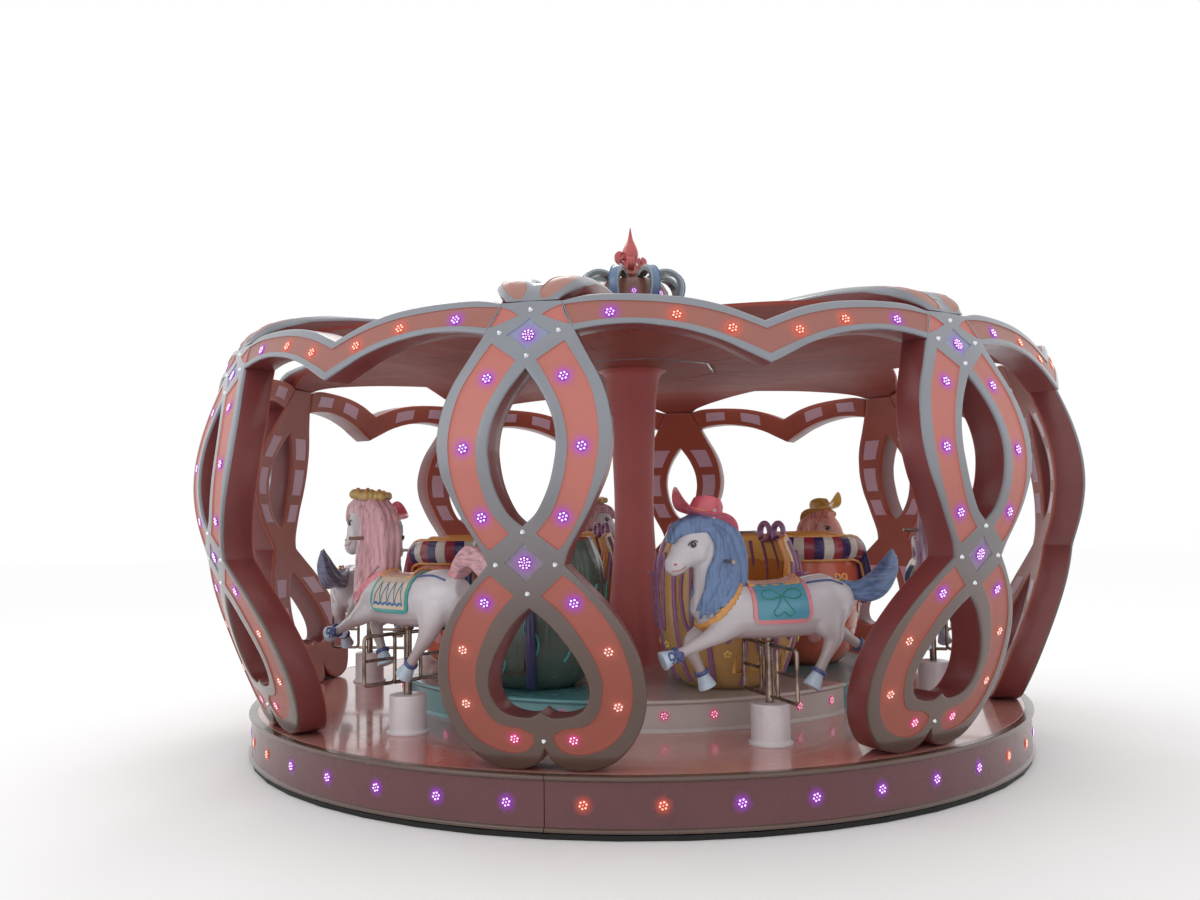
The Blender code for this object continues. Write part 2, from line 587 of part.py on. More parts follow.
# Hats are (half length, half width, height) rings, set on the head's top and tipped up in front
HAT_SEAT = (0.375, 1.605)
WIDE_HAT_TILT = 19.0
WREATH_TILT = 9.5
WIDE_HAT = [(0.200, 0.140, -0.012), (0.212, 0.150, 0.0), (0.118, 0.082, 0.006), (0.098, 0.070, 0.105)]
WREATH = [(0.100, 0.100, -0.010), (0.140, 0.140, 0.012), (0.115, 0.115, 0.045)]
HAT_SIDES = 10
HANDLE_PLACE = (0.300, 1.366)
HANDLE_HALF_LENGTH = 0.200
HANDLE_BAR = 0.010
POLE_BOTTOM = 0.160
LOOP_NEAR = 0.095
LOOP_FAR = 0.310
LOOP_BAR = 0.010
REST_BAR = 0.009
UPRIGHT_BAR = 0.011
LOOP_HEIGHTS = (0.620, 0.760, 0.900)
RING_SIDES = 8
LIMB_SIDES = 6


def limb(name, rings, sides):
    """A closed solid through elliptical rings square to the limb's own line."""
    centres = [Vector((side, -forward, height)) for forward, height, side, _, _ in rings]
    stack = []
    for i, (_, _, _, depth, width) in enumerate(rings):
        along = (centres[min(i + 1, len(rings) - 1)] - centres[max(i - 1, 0)]).normalized()
        across = Vector((1.0, 0.0, 0.0))
        normal = along.cross(across).normalized()
        stack.append([tuple(centres[i] + across * (width * math.cos(a)) + normal * (depth * math.sin(a)))
                      for a in (2.0 * math.pi * (k + 0.5) / sides for k in range(sides))])
    return ring_stack(name, stack)


def raised(rings, lift):
    """Rings of the neck and head, lifted in full above the neck's run and less below it."""
    return [(f, z + lift * min(max((z - NECK_ROOT) / NECK_RUN, 0.0), 1.0), s, d, w) for f, z, s, d, w in rings]


def headwear(rings, lift, tilt):
    forward, height = HAT_SEAT
    hat = ring_stack("hat", [[(w * math.cos(a), -l * math.sin(a), z) for a in
                              (2.0 * math.pi * k / HAT_SIDES for k in range(HAT_SIDES))] for l, w, z in rings])
    tipped = Matrix.Rotation(math.radians(-tilt), 4, "X")
    hat.transform(Matrix.Translation((0.0, -forward, height + lift)) @ tipped)
    return hat


def foot_loops():
    """Bars across the pole for the riders' feet: a loop on each side, joined to the pole above and below."""
    low, middle, top = LOOP_HEIGHTS
    pieces = []
    for height in (low, top):
        pieces.append(box_mesh("arm", (-LOOP_FAR, -LOOP_BAR, height - LOOP_BAR),
                               (LOOP_FAR, LOOP_BAR, height + LOOP_BAR)))
    for side in (-1.0, 1.0):
        near, far = sorted((side * LOOP_NEAR, side * LOOP_FAR))
        pieces.append(box_mesh("rest", (near, -REST_BAR, middle - REST_BAR),
                               (far, REST_BAR, middle + REST_BAR)))
        for across in (LOOP_NEAR, LOOP_FAR):
            pieces.append(box_mesh("upright", (side * across - UPRIGHT_BAR, -UPRIGHT_BAR, low - UPRIGHT_BAR),
                                   (side * across + UPRIGHT_BAR, UPRIGHT_BAR, top + UPRIGHT_BAR)))
    return pieces


def build_horses():
    """Odd horses carry their heads low under a wide hat; even ones carry them high under a wreath."""
    pole = turned("pole", [(0.0, 1.10), (POLE_RADIUS, 1.10), (POLE_RADIUS, POLE_BOTTOM), (0.0, POLE_BOTTOM)],
                  POLE_SIDES)
    for k, azimuth in enumerate(HORSE_AZIMUTHS):
        even = k % 2 == 1
        lift = HEAD_LIFTS[k]
        pieces = [limb("neck", raised(NECK, lift), RING_SIDES), limb("head", raised(HEAD, lift), LIMB_SIDES),
                  limb("mane", raised(MANE, lift), LIMB_SIDES),
                  limb("tail", TAIL_ARCHED if even else TAIL_FLOWING, LIMB_SIDES)]
        for name, rings in (("fore_raised", FORE_RAISED), ("fore_folded", FORE_FOLDED),
                            ("hind_outer", HIND_REACHING if even else HIND_UNDER), ("hind_back", HIND_BACK)):
            pieces.append(limb(name, rings, LIMB_SIDES))
        pieces.append(headwear(WREATH, lift, WREATH_TILT) if even else headwear(WIDE_HAT, lift, WIDE_HAT_TILT))
        forward, height = HANDLE_PLACE
        level = height + lift
        pieces.append(box_mesh("handle", (-HANDLE_HALF_LENGTH, -forward - HANDLE_BAR, level - HANDLE_BAR),
                               (HANDLE_HALF_LENGTH, -forward + HANDLE_BAR, level + HANDLE_BAR)))
        pieces.append(pole)
        mesh = combined("horse", limb("body", BODY, RING_SIDES), pieces + foot_loops())
        # The horse faces the way the platform turns, clockwise from above: its forward is -X at azimuth 0
        mesh.transform(Matrix.Rotation(math.radians(-90.0), 4, "Z"))
        horse = finish_object(f"horse_{k + 1}", mesh, (0.75, 0.74, 0.72), 0.3)
        horse.location = polar(azimuth, HORSE_RADIUS, HIGH_PHASE if even else LOW_PHASE)
        horse.rotation_euler.z = math.radians(azimuth)


build_base_frame()
build_deck()
build_skirt_panels()
build_dais()
build_centre_column()
build_crown_columns()
build_arch_bands()
build_roof_ribs()
build_hub()
build_top_crown()
build_finial()
build_chariots()
build_sleeves()
build_horses()
bpy.context.view_layer.update()
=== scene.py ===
import math

import bmesh
import bpy
import numpy as np
from mathutils import Matrix, Vector
from mathutils.bvhtree import BVHTree
from mathutils.geometry import delaunay_2d_cdt


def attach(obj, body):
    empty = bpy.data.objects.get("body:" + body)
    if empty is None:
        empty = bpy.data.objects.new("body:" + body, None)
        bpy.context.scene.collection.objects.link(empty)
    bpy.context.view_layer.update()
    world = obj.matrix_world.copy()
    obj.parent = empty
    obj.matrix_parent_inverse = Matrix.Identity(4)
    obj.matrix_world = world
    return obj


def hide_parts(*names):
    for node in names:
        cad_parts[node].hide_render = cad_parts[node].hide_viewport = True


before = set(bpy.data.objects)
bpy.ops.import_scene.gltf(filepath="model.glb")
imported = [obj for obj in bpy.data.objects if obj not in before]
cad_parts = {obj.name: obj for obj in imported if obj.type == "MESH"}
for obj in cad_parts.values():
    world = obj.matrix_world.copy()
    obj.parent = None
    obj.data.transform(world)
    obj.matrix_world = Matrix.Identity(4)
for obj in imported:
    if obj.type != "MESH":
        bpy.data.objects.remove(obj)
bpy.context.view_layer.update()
scene = bpy.context.scene


# Camera: fitted to the photograph, at eye height and 7.8 m from the turning axis, looking slightly up.
# The front column stands at -Y, a little left of the picture's middle.
camera = bpy.data.objects.new("camera", bpy.data.cameras.new("camera"))
scene.collection.objects.link(camera)
camera.data.sensor_width = 36.0
camera.data.lens = 31.26
yaw = math.radians(-11.556)
pitch = math.radians(3.793)
roll = 0.01192
ahead = Vector((math.sin(yaw) * math.cos(pitch), math.cos(yaw) * math.cos(pitch), math.sin(pitch)))
level = Vector((math.cos(yaw), -math.sin(yaw), 0.0))
upward = level.cross(ahead)
right = level * math.cos(roll) - upward * math.sin(roll)
up = upward * math.cos(roll) + level * math.sin(roll)
turned = Matrix((right, up, -ahead)).transposed().to_4x4()
camera.matrix_world = Matrix.Translation((1.3186, -7.6950, 1.5443)) @ turned
scene.camera = camera


# Crown columns: eight glass-fibre mouldings, each an almond loop over a spade loop on two feet that are
# bolted to the deck. Silver borders about 55 mm wide cross at two diamonds; the salmon panels between them
# are sunk 7 mm. The paint and moulding tools that later pieces share are made here first.
class Value:
    """A socket in a material; arithmetic on it adds Math nodes."""

    def __init__(self, paint, socket):
        self.paint = paint
        self.socket = socket

    def math(self, operation, *others):
        return self.paint.add("ShaderNodeMath", {"operation": operation}, [self, *others])

    def __add__(self, other):
        return self.math("ADD", other)

    def __rsub__(self, other):
        return self.paint.add("ShaderNodeMath", {"operation": "SUBTRACT"}, [other, self])

    def __mul__(self, other):
        return self.math("MULTIPLY", other)

    __radd__ = __add__
    __rmul__ = __mul__

    def between(self, low, high):
        """0 below low, 1 above high, smooth in between."""
        settings = {"interpolation_type": "SMOOTHSTEP", "clamp": True}
        inputs = {"Value": self, "From Min": low, "From Max": high}
        return self.paint.add("ShaderNodeMapRange", settings, inputs)


def linear(red, green, blue):
    """A colour as seen on the screen, 0 to 255, as the shader needs it."""
    return tuple(((c / 255.0 + 0.055) / 1.055) ** 2.4 if c > 10 else c / 255.0 / 12.92
                 for c in (red, green, blue)) + (1.0,)


class Paint:
    """A Principled material that is built up node by node."""

    def __init__(self, name, color, roughness, **constants):
        self.material = bpy.data.materials.new(name)
        self.material.use_nodes = True
        self.tree = self.material.node_tree
        self.shader = self.tree.nodes["Principled BSDF"]
        self.shader.inputs["Base Color"].default_value = color
        self.shader.inputs["Roughness"].default_value = roughness
        for key, value in constants.items():
            self.shader.inputs[key.replace("_", " ").title().replace("Ior", "IOR")].default_value = value

    def add(self, kind, settings, inputs, output=0):
        node = self.tree.nodes.new(kind)
        for key, value in settings.items():
            setattr(node, key, value)
        for key, value in inputs.items() if isinstance(inputs, dict) else enumerate(inputs):
            if isinstance(value, Value):
                self.tree.links.new(value.socket, node.inputs[key])
            else:
                node.inputs[key].default_value = value
        return Value(self, node.outputs[output])

    def place(self, output="Object"):
        return self.add("ShaderNodeTexCoord", {}, {}, output)

    def height(self):
        return self.add("ShaderNodeSeparateXYZ", {}, [self.place()], "Z")

    def noise(self, scale, detail=3.0):
        return self.add("ShaderNodeTexNoise", {}, {"Vector": self.place(), "Scale": scale, "Detail": detail})

    def mix(self, low, high, factor):
        """A colour between low and high; a Mix node's colour sockets are 6, 7 and output 2."""
        return self.add("ShaderNodeMix", {"data_type": "RGBA"}, {0: factor, 6: low, 7: high}, 2)

    def feed(self, key, value):
        self.tree.links.new(value.socket, self.shader.inputs[key])

    def bump(self, height, distance, strength):
        settings = {"Strength": strength, "Distance": distance, "Height": height}
        self.feed("Normal", self.add("ShaderNodeBump", {}, settings))


def shade(color, factor):
    return tuple(min(c * factor, 1.0) for c in color[:3]) + (1.0,)


def moulded(name, color, roughness=0.32, dirt=0.82, coat=0.25, painted_light_low_color=None, low=0.4, high=2.3):
    """Painted glass fibre: colour drift, a slight ripple in the gloss, and a painted-light tint that changes
    with height.
    """
    paint = Paint(name, color, roughness, coat_weight=coat, coat_roughness=0.12)
    base, dull_and_painted_light = color, shade(color, dirt)
    # A low colour paints light and shade by height: the paint runs from it near the floor to the main colour
    # higher up.
    if painted_light_low_color:
        rising = paint.height().between(low, high)
        base, dull_and_painted_light = paint.mix(painted_light_low_color, color, rising), paint.mix(shade(painted_light_low_color, dirt), dull_and_painted_light, rising)
    wear_and_painted_light = paint.mix(dull_and_painted_light, base, paint.noise(2.4, 4.0).between(0.28, 0.56))
    paint.feed("Base Color", wear_and_painted_light)
    paint.feed("Roughness", paint.noise(7.0, 5.0) * 0.16 + (roughness - 0.08))
    paint.bump(paint.noise(24.0, 2.0), 0.0016, 0.35)
    return paint.material


# Silver and salmon are painted darker and browner low down on the columns: painted shade towards the deck.
silver = moulded("silver_paint", linear(130, 133, 141), 0.25, 0.88, 0.4, linear(90, 68, 59), 0.8, 2.1)
salmon = moulded("salmon_paint", linear(184, 108, 98), 0.36, 0.92, 0.0, linear(148, 74, 60), 0.7, 2.0)
maroon = moulded("maroon_paint", linear(118, 56, 56), 0.34, 0.84, 0.1)
inner_pink = moulded("inner_pink_paint", linear(166, 82, 64), 0.36, 0.84, 0.0)
lilac = moulded("lilac_paint", linear(206, 168, 186), 0.30, 0.94, 0.1)
# Node blue is painted darker towards the lower diamond: painted shade.
node_blue = moulded("node_blue_paint", linear(132, 140, 168), 0.28, 0.92, 0.2, linear(122, 98, 104), 0.8, 2.2)


# A moulding is an outline in the plane of a face that is filled with triangles, rounded at its edges,
# sunk where it has panels, and laid on a curved surface.
def smooth(points, steps=6):
    """Points along the smooth line through the given ones, both ends included."""
    padded = [points[0]] + list(points) + [points[-1]]
    line = []
    for i in range(1, len(padded) - 2):
        p0, p1, p2, p3 = (np.array(p, float) for p in padded[i - 1:i + 3])
        for k in range(steps):
            u = k / steps
            line.append(tuple(p1 + 0.5 * u * (p2 - p0 + u * (2 * p0 - 5 * p1 + 4 * p2 - p3
                                                             + u * (3 * (p1 - p2) + p3 - p0)))))
    line.append(tuple(points[-1]))
    return line


def mirror(half):
    """Close a right-hand half, which starts and ends on the middle line."""
    return list(half) + [(-a, b) for a, b in reversed(half) if a > 1e-5]


def turned_left(loop, left=True):
    area = sum(a[0] * b[1] - b[0] * a[1] for a, b in zip(loop, loop[1:] + loop[:1]))
    return list(loop) if (area > 0) == left else list(reversed(loop))


def inset(loop, distance):
    """Move a closed outline to its left, all of it by one distance or each point by its own."""
    points = np.array(loop)
    distance = np.reshape(distance, (-1, 1))
    before = points - np.roll(points, 1, axis=0)
    after = np.roll(points, -1, axis=0) - points
    before /= np.linalg.norm(before, axis=1)[:, None] + 1e-12
    after /= np.linalg.norm(after, axis=1)[:, None] + 1e-12
    normal_a = np.stack([-before[:, 1], before[:, 0]], axis=1)
    normal_b = np.stack([-after[:, 1], after[:, 0]], axis=1)
    middle = normal_a + normal_b
    middle /= np.maximum(1.0 + np.sum(normal_a * normal_b, axis=1), 0.35)[:, None]
    return [tuple(p) for p in points + middle * distance]


def inside(points, loops):
    """Which points lie within an odd number of the loops."""
    x, y = points[:, 0][:, None], points[:, 1][:, None]
    odd = np.zeros(len(points), bool)
    for loop in loops:
        a = np.array(loop)
        b = np.roll(a, -1, axis=0)
        crosses = (a[None, :, 1] > y) != (b[None, :, 1] > y)
        slope = (b[:, 0] - a[:, 0]) / np.where(np.abs(b[:, 1] - a[:, 1]) < 1e-12, 1e-12, b[:, 1] - a[:, 1])
        at = a[None, :, 0] + slope[None, :] * (y - a[None, :, 1])
        odd ^= (np.sum(crosses & (x < at), axis=1) % 2).astype(bool)
    return odd


def fill(loops, spacing):
    """Points and triangles that fill the first loop around the others."""
    rim = [tuple(p) for loop in loops for p in loop]
    edges = []
    start = 0
    for loop in loops:
        edges += [(start + i, start + (i + 1) % len(loop)) for i in range(len(loop))]
        start += len(loop)
    low = np.min(loops[0], axis=0)
    high = np.max(loops[0], axis=0)
    xs = np.arange(low[0] + spacing / 2, high[0], spacing)
    ys = np.arange(low[1] + spacing / 2, high[1], spacing * 0.87)
    grid = np.array([(x + (j % 2) * spacing / 2, y) for j, y in enumerate(ys) for x in xs])
    grid = grid[inside(grid, loops)]
    ring = np.array(rim)
    if len(grid):
        near = np.array([np.min(np.sum((ring - g) ** 2, axis=1)) for g in grid])
        grid = grid[near > (0.45 * spacing) ** 2]
    points = [Vector(p) for p in rim] + [Vector(p) for p in grid]
    points, _, triangles, _, _, _ = delaunay_2d_cdt(points, edges, [], 0, 1e-7)
    flat = np.array([tuple(p) for p in points])
    kept = inside(np.array([flat[list(t)].mean(axis=0) for t in triangles]), loops)
    return [tuple(p) for p in flat], [t for t, k in zip(triangles, kept) if k]


class Body:
    """A mesh under construction: rings, fills and sheets with a material number each."""

    def __init__(self):
        self.points = []
        self.faces = []
        self.slots = []
        self.uvs = {}

    def sheet(self, points, faces, slot=0):
        start = len(self.points)
        self.points += [tuple(p) for p in points]
        for face in faces:
            self.faces.append([i + start for i in face])
            self.slots.append(slot)

    def rings(self, rings, slot=0, closed=True, caps=False):
        count = len(rings[0])
        faces = []
        for i in range(len(rings) - 1):
            for k in range(count if closed else count - 1):
                nxt = (k + 1) % count
                faces.append((i * count + k, i * count + nxt, (i + 1) * count + nxt, (i + 1) * count + k))
        if caps:
            faces.append(tuple(range(count)))
            faces.append(tuple(range(len(rings) * count - 1, (len(rings) - 1) * count - 1, -1)))
        self.sheet([p for ring in rings for p in ring], faces, slot)

    def mesh(self, name):
        mesh = bpy.data.meshes.new(name)
        mesh.from_pydata(self.points, [], self.faces)
        mesh.polygons.foreach_set("material_index", self.slots)
        if self.uvs:
            layer = mesh.uv_layers.new(name="lamp")
            for loop in mesh.loops:
                layer.data[loop.index].uv = self.uvs.get(loop.vertex_index, (0.0, 0.0))
            return mesh
        bm = bmesh.new()
        bm.from_mesh(mesh)
        bmesh.ops.remove_doubles(bm, verts=bm.verts, dist=1e-5)
        bmesh.ops.recalc_face_normals(bm, faces=bm.faces)
        bm.to_mesh(mesh)
        bm.free()
        return mesh


def piece(name, mesh, materials, body="platform", replaces=(), sharp=30.0):
    for material in materials:
        mesh.materials.append(material)
    mesh.shade_smooth()
    mesh.set_sharp_from_angle(angle=math.radians(sharp))
    obj = bpy.data.objects.new(name, mesh)
    scene.collection.objects.link(obj)
    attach(obj, body)
    if replaces:
        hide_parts(*replaces)


def eight_copies(name, mesh, materials):
    """The same moulding repeated eight times about the turning axis, from -Y towards +X."""
    for k in range(8):
        own = mesh.copy()
        own.transform(Matrix.Rotation(math.radians(45.0 * k), 4, "Z"))
        piece(f"{name}_{k + 1}_shell", own, materials, replaces=[f"{name}_{k + 1}"])


def around(azimuth_deg, radius, height):
    angle = math.radians(azimuth_deg)
    return Vector((radius * math.sin(angle), -radius * math.cos(angle), height))


def moulding(outline, holes, panels, patches, place, depth, spacing=0.035, edge=0.012, joints=()):
    """A moulding: a silver face with sunk panels, rounded edges, plain sides and a back with patches.
    Material numbers: 0 face, 1 and up for panels as given, 2 sides, 3 back, 4 patches.
    Outline points listed in joints get a sharp edge, where the next moulding stands against them."""
    body = Body()
    recess = 0.007
    edges = [turned_left(outline)] + [turned_left(h, False) for h in holes]
    curve = [(0.0, 1.3), (0.08, 0.62), (0.3, 0.26), (0.62, 0.06), (1.0, 0.0)]
    back_curve = [(0.0, 1.0), (0.3, 0.3), (1.0, 0.0)]
    rounding = [np.array([edge * (0.2 if any(math.dist(p, j) < 1e-6 for j in joints) else 1.0) for p in loop])
                for loop in edges]
    for loop, size in zip(edges, rounding):
        front = [[place(a, b, d * s) for (a, b), s in zip(inset(loop, size * i), size)] for i, d in curve]
        body.rings(front, 0)
        body.rings([front[0]] + [[place(a, b, d) for a, b in loop] for d in (depth * 0.5, depth - edge)], 2)
        back = [[place(a, b, depth - d * edge) for a, b in inset(loop, i * edge)] for i, d in back_curve]
        body.rings(back, 3)
    cuts = [turned_left(loop, False) for loop, _ in panels]
    points, triangles = fill([inset(loop, size) for loop, size in zip(edges, rounding)] + cuts, spacing)
    body.sheet([place(a, b, 0.0) for a, b in points], triangles, 0)
    for loop, slot in panels:
        loop = turned_left(loop)
        wall = [(0.0, 0.0), (0.0006, 0.0012), (0.0030, recess * 0.85), (0.0060, recess)]
        body.rings([[place(a, b, d) for a, b in inset(loop, i)] for i, d in wall], slot)
        points, triangles = fill([inset(loop, wall[-1][0])], spacing)
        body.sheet([place(a, b, recess) for a, b in points], triangles, slot)
    rear = [turned_left(loop, False) for loop in patches]
    points, triangles = fill([inset(loop, edge) for loop in edges] + rear, spacing)
    body.sheet([place(a, b, depth) for a, b in points], triangles, 3)
    for loop in patches:
        loop = turned_left(loop)
        body.rings([[place(a, b, depth + d) for a, b in inset(loop, i)]
                    for i, d in ((0.0, 0.0), (0.002, 0.003))], 4)
        points, triangles = fill([inset(loop, 0.002)], spacing)
        body.sheet([place(a, b, depth + 0.003) for a, b in points], triangles, 4)
    return body


# Columns and arches are cut from one bulging surface of revolution
CROWN_DEPTH = 0.187
ARCH_RADIUS = 2.9
WIDEST_RADIUS = 3.085
WIDEST_HEIGHT = 1.746
SIDE_SLOPE = 0.44
SIDE_ROUNDING = 0.495


def crown_radius(height):
    fall = math.hypot(height - WIDEST_HEIGHT, SIDE_ROUNDING) - SIDE_ROUNDING
    return WIDEST_RADIUS - SIDE_SLOPE * fall


def on_column(across, height, depth):
    radius = crown_radius(height)
    return around(math.degrees(across / radius), radius - depth, height)


def on_arch(across, height, depth):
    return around(math.degrees(across / ARCH_RADIUS), crown_radius(height) - depth, height)


def arch_point(azimuth_deg, height):
    return (math.radians(azimuth_deg) * ARCH_RADIUS, height)


def edge_at(edge, height):
    """Where a falling edge line stands at a height."""
    heights = [p[1] for p in edge][::-1]
    return float(np.interp(height, heights, [p[0] for p in edge][::-1]))


def strap_patch(outer, inner, top, bottom, near=0.27, far=0.78):
    """A patch along a strap, between two heights and two shares of the strap's width."""
    levels = np.linspace(top, bottom, 7)
    lines = [[(edge_at(inner, z) + share * (edge_at(outer, z) - edge_at(inner, z)), z) for z in levels]
             for share in (near, far)]
    return lines[0] + lines[1][::-1]


# Outlines are (across, height), the right-hand half from the top down; an arch meets a column at SEAM
SEAM = [(0.150, 2.600), (0.169, 2.540), (0.2252, 2.443)]
almond_edge = smooth([SEAM[-1], (0.300, 2.310), (0.366, 2.190), (0.408, 2.070), (0.427, 1.920),
                      (0.404, 1.775), (0.352, 1.655), (0.295, 1.545), (0.215, 1.410), (0.187, 1.335)])
spade_edge = smooth([(0.187, 1.335), (0.289, 1.230), (0.384, 1.122), (0.468, 0.980), (0.512, 0.840),
                     (0.523, 0.696), (0.494, 0.560), (0.426, 0.440), (0.330, 0.350), (0.210, 0.311)])
foot_edge = smooth([(0.210, 0.311), (0.140, 0.3105), (0.075, 0.329), (0.030, 0.362), (0.0, 0.420)])
almond_opening = smooth([(0.0, 2.257), (0.088, 2.135), (0.145, 2.010), (0.163, 1.905), (0.158, 1.820),
                         (0.130, 1.700), (0.070, 1.580), (0.0, 1.517)])
spade_opening = smooth([(0.0, 1.130), (0.080, 1.060), (0.150, 0.970), (0.210, 0.870), (0.245, 0.770),
                        (0.243, 0.690), (0.205, 0.625), (0.140, 0.596), (0.055, 0.590), (0.0, 0.620)])
upper_outer = smooth([(0.180, 2.393), (0.245, 2.293), (0.314, 2.170), (0.349, 2.050), (0.364, 1.930),
                      (0.356, 1.820), (0.328, 1.695), (0.275, 1.565), (0.200, 1.440), (0.160, 1.405)])
upper_inner = smooth([(0.064, 1.481), (0.144, 1.580), (0.195, 1.710), (0.216, 1.826), (0.216, 1.930),
                      (0.184, 2.060), (0.122, 2.185), (0.050, 2.300)])
lower_outer = smooth([(0.175, 1.290), (0.250, 1.225), (0.330, 1.125), (0.400, 1.010), (0.443, 0.880),
                      (0.460, 0.753), (0.446, 0.640), (0.395, 0.520), (0.303, 0.436), (0.178, 0.398),
                      (0.090, 0.416), (0.050, 0.465)])
lower_inner = smooth([(0.050, 0.500), (0.107, 0.532), (0.150, 0.537), (0.235, 0.560), (0.288, 0.633),
                      (0.312, 0.737), (0.310, 0.800), (0.282, 0.895), (0.212, 1.026), (0.142, 1.118),
                      (0.064, 1.190)])
leaf = smooth([(0.1518, 2.580), (0.110, 2.564), (0.075, 2.544), (0.058, 2.530)], 4) + smooth(
    [(0.058, 2.530), (0.100, 2.512), (0.140, 2.494), (0.2017, 2.474)], 4)[1:] + [(0.1640, 2.540)]


def diamond(centre, half_width, half_height, pinch=0.93):
    """Four slightly hollow sides."""
    corners = [(0.0, half_height), (half_width, 0.0), (0.0, -half_height), (-half_width, 0.0)]
    loop = []
    for i, (a, b) in enumerate(corners):
        c, d = corners[(i + 1) % 4]
        middle = ((a + c) / 2 * pinch, (b + d) / 2 * pinch)
        loop += smooth([(a, b), middle, (c, d)], 4)[:-1]
    return [(a, b + centre) for a, b in loop]


COLUMN_TOP = (0.0, 2.6045)
column_outline = mirror([COLUMN_TOP] + SEAM[:-1] + almond_edge + spade_edge[1:] + foot_edge[1:])
upper_panel = upper_outer + upper_inner
lower_panel = lower_outer + lower_inner


def flipped(loop):
    return [(-a, b) for a, b in loop]


column_panels = [(upper_panel, 1), (flipped(upper_panel), 1), (lower_panel, 1), (flipped(lower_panel), 1),
                 (leaf, 1), (flipped(leaf), 1), (diamond(2.432, 0.110, 0.083), 5),
                 (diamond(1.345, 0.100, 0.094), 5)]
right_patches = [strap_patch(almond_edge, almond_opening, high, low)
                 for high, low in ((2.23, 2.06), (1.98, 1.77), (1.69, 1.55))]
right_patches += [strap_patch(spade_edge, spade_opening, high, low)
                  for high, low in ((1.10, 0.97), (0.89, 0.71))]
column_patches = right_patches + [flipped(p) for p in right_patches]
column_joints = SEAM + [COLUMN_TOP] + flipped(SEAM)
column_body = moulding(column_outline, [mirror(almond_opening), mirror(spade_opening)], column_panels,
                       column_patches, on_column, CROWN_DEPTH, joints=column_joints)
column_slots = [silver, salmon, maroon, inner_pink, lilac, node_blue]
eight_copies("crown_column", column_body.mesh("column"), column_slots)


# Arch bands: eight scalloped glass-fibre mouldings bolted between the columns' shoulders, each with a pointed
# middle and one long sunk salmon panel; their backs carry lilac patches
arch_top = smooth([arch_point(3.0, 2.600), arch_point(5.5, 2.626), arch_point(9.0, 2.628),
                   arch_point(12.5, 2.619), arch_point(15.5, 2.601), arch_point(18.5, 2.566),
                   arch_point(21.0, 2.519), arch_point(22.5, 2.488)])
arch_under = smooth([arch_point(22.5, 2.273), arch_point(20.2, 2.331), arch_point(18.0, 2.385),
                     arch_point(15.0, 2.434), arch_point(12.2, 2.460), arch_point(9.7, 2.471),
                     arch_point(6.8, 2.463), arch_point(4.4, 2.443)])
panel_top = smooth([arch_point(3.24, 2.580), arch_point(6.5, 2.593), arch_point(10.0, 2.588),
                    arch_point(13.5, 2.574), arch_point(16.5, 2.549), arch_point(19.5, 2.507),
                    arch_point(22.5, 2.446)])
panel_under = smooth([arch_point(22.5, 2.318), arch_point(20.2, 2.373), arch_point(17.0, 2.438),
                      arch_point(14.0, 2.476), arch_point(11.0, 2.496), arch_point(7.5, 2.497),
                      arch_point(4.20, 2.474)])


def arch_mirror(right_half):
    middle = arch_point(22.5, 0.0)[0]
    return [(2.0 * middle - a, b) for a, b in reversed(right_half)]


def whole_arch(top, under, seam):
    return top + arch_mirror(top)[1:] + arch_mirror(seam) + arch_mirror(under) + under[1:] + seam


arch_seam = [arch_point(3.42, 2.540)]
arch_outline = whole_arch(arch_top, arch_under, arch_seam)
arch_panel = whole_arch(panel_top, panel_under, [arch_point(3.53, 2.540)])
arch_ends = [arch_top[0], arch_under[-1]] + arch_seam


def arch_patch(start, end):
    """A patch along the band between two azimuths."""
    angles = np.linspace(start, end, 6)
    tops = [p[1] for p in arch_top]
    along = [p[0] for p in arch_top]
    under_along = [p[0] for p in arch_under][::-1]
    unders = [p[1] for p in arch_under][::-1]
    lines = []
    for share in (0.26, 0.76):
        line = []
        for a in angles:
            x = arch_point(a, 0.0)[0]
            low = float(np.interp(x, under_along, unders))
            high = float(np.interp(x, along, tops))
            line.append((x, low + share * (high - low)))
        lines.append(line)
    return lines[0] + lines[1][::-1]


arch_patches = [arch_patch(6.0, 10.0), arch_patch(13.5, 17.5)]
arch_patches += [arch_mirror(p) for p in arch_patches]
arch_body = moulding(arch_outline, [], [(arch_panel, 1)], arch_patches, on_arch, CROWN_DEPTH,
                     joints=arch_ends + arch_mirror(arch_ends))
band_salmon = moulded("band_salmon_paint", linear(154, 96, 86), 0.36, 0.92, 0.0)
eight_copies("arch_band", arch_body.mesh("arch"), [silver, band_salmon, maroon, inner_pink, lilac])


# Roof ribs: twin bowed straps that rise from each column's top in two round lobes and run level to the hub,
# in one glass-fibre moulding with a thin web between ribs that closes the roof up to a gap behind the arches.
# Each list has one entry per station, from the column's top inwards; lines are (radius, height).
rib_top = [(2.866, 2.6055), (2.842, 2.668), (2.760, 2.738), (2.580, 2.790), (2.300, 2.826), (1.950, 2.842),
           (1.700, 2.845), (1.500, 2.845), (1.100, 2.848), (0.850, 2.860), (0.6005, 2.876)]
rib_low = [(2.682, 2.6055), (2.640, 2.632), (2.560, 2.658), (2.440, 2.678), (2.250, 2.696), (1.950, 2.704),
           (1.700, 2.694), (1.500, 2.672), (1.100, 2.654), (0.850, 2.652), (0.6005, 2.652)]
rib_half = [0.130, 0.178, 0.228, 0.250, 0.256, 0.256, 0.254, 0.250, 0.236, 0.222, 0.205]
groove_half = [0.020, 0.025, 0.030, 0.048, 0.060, 0.063, 0.062, 0.056, 0.040, 0.024, 0.016]
rib_bow = [0.0, 0.25, 0.35] + [0.30] * 8
rib_steps = 8
rib_top_line = np.array(smooth(rib_top, rib_steps))
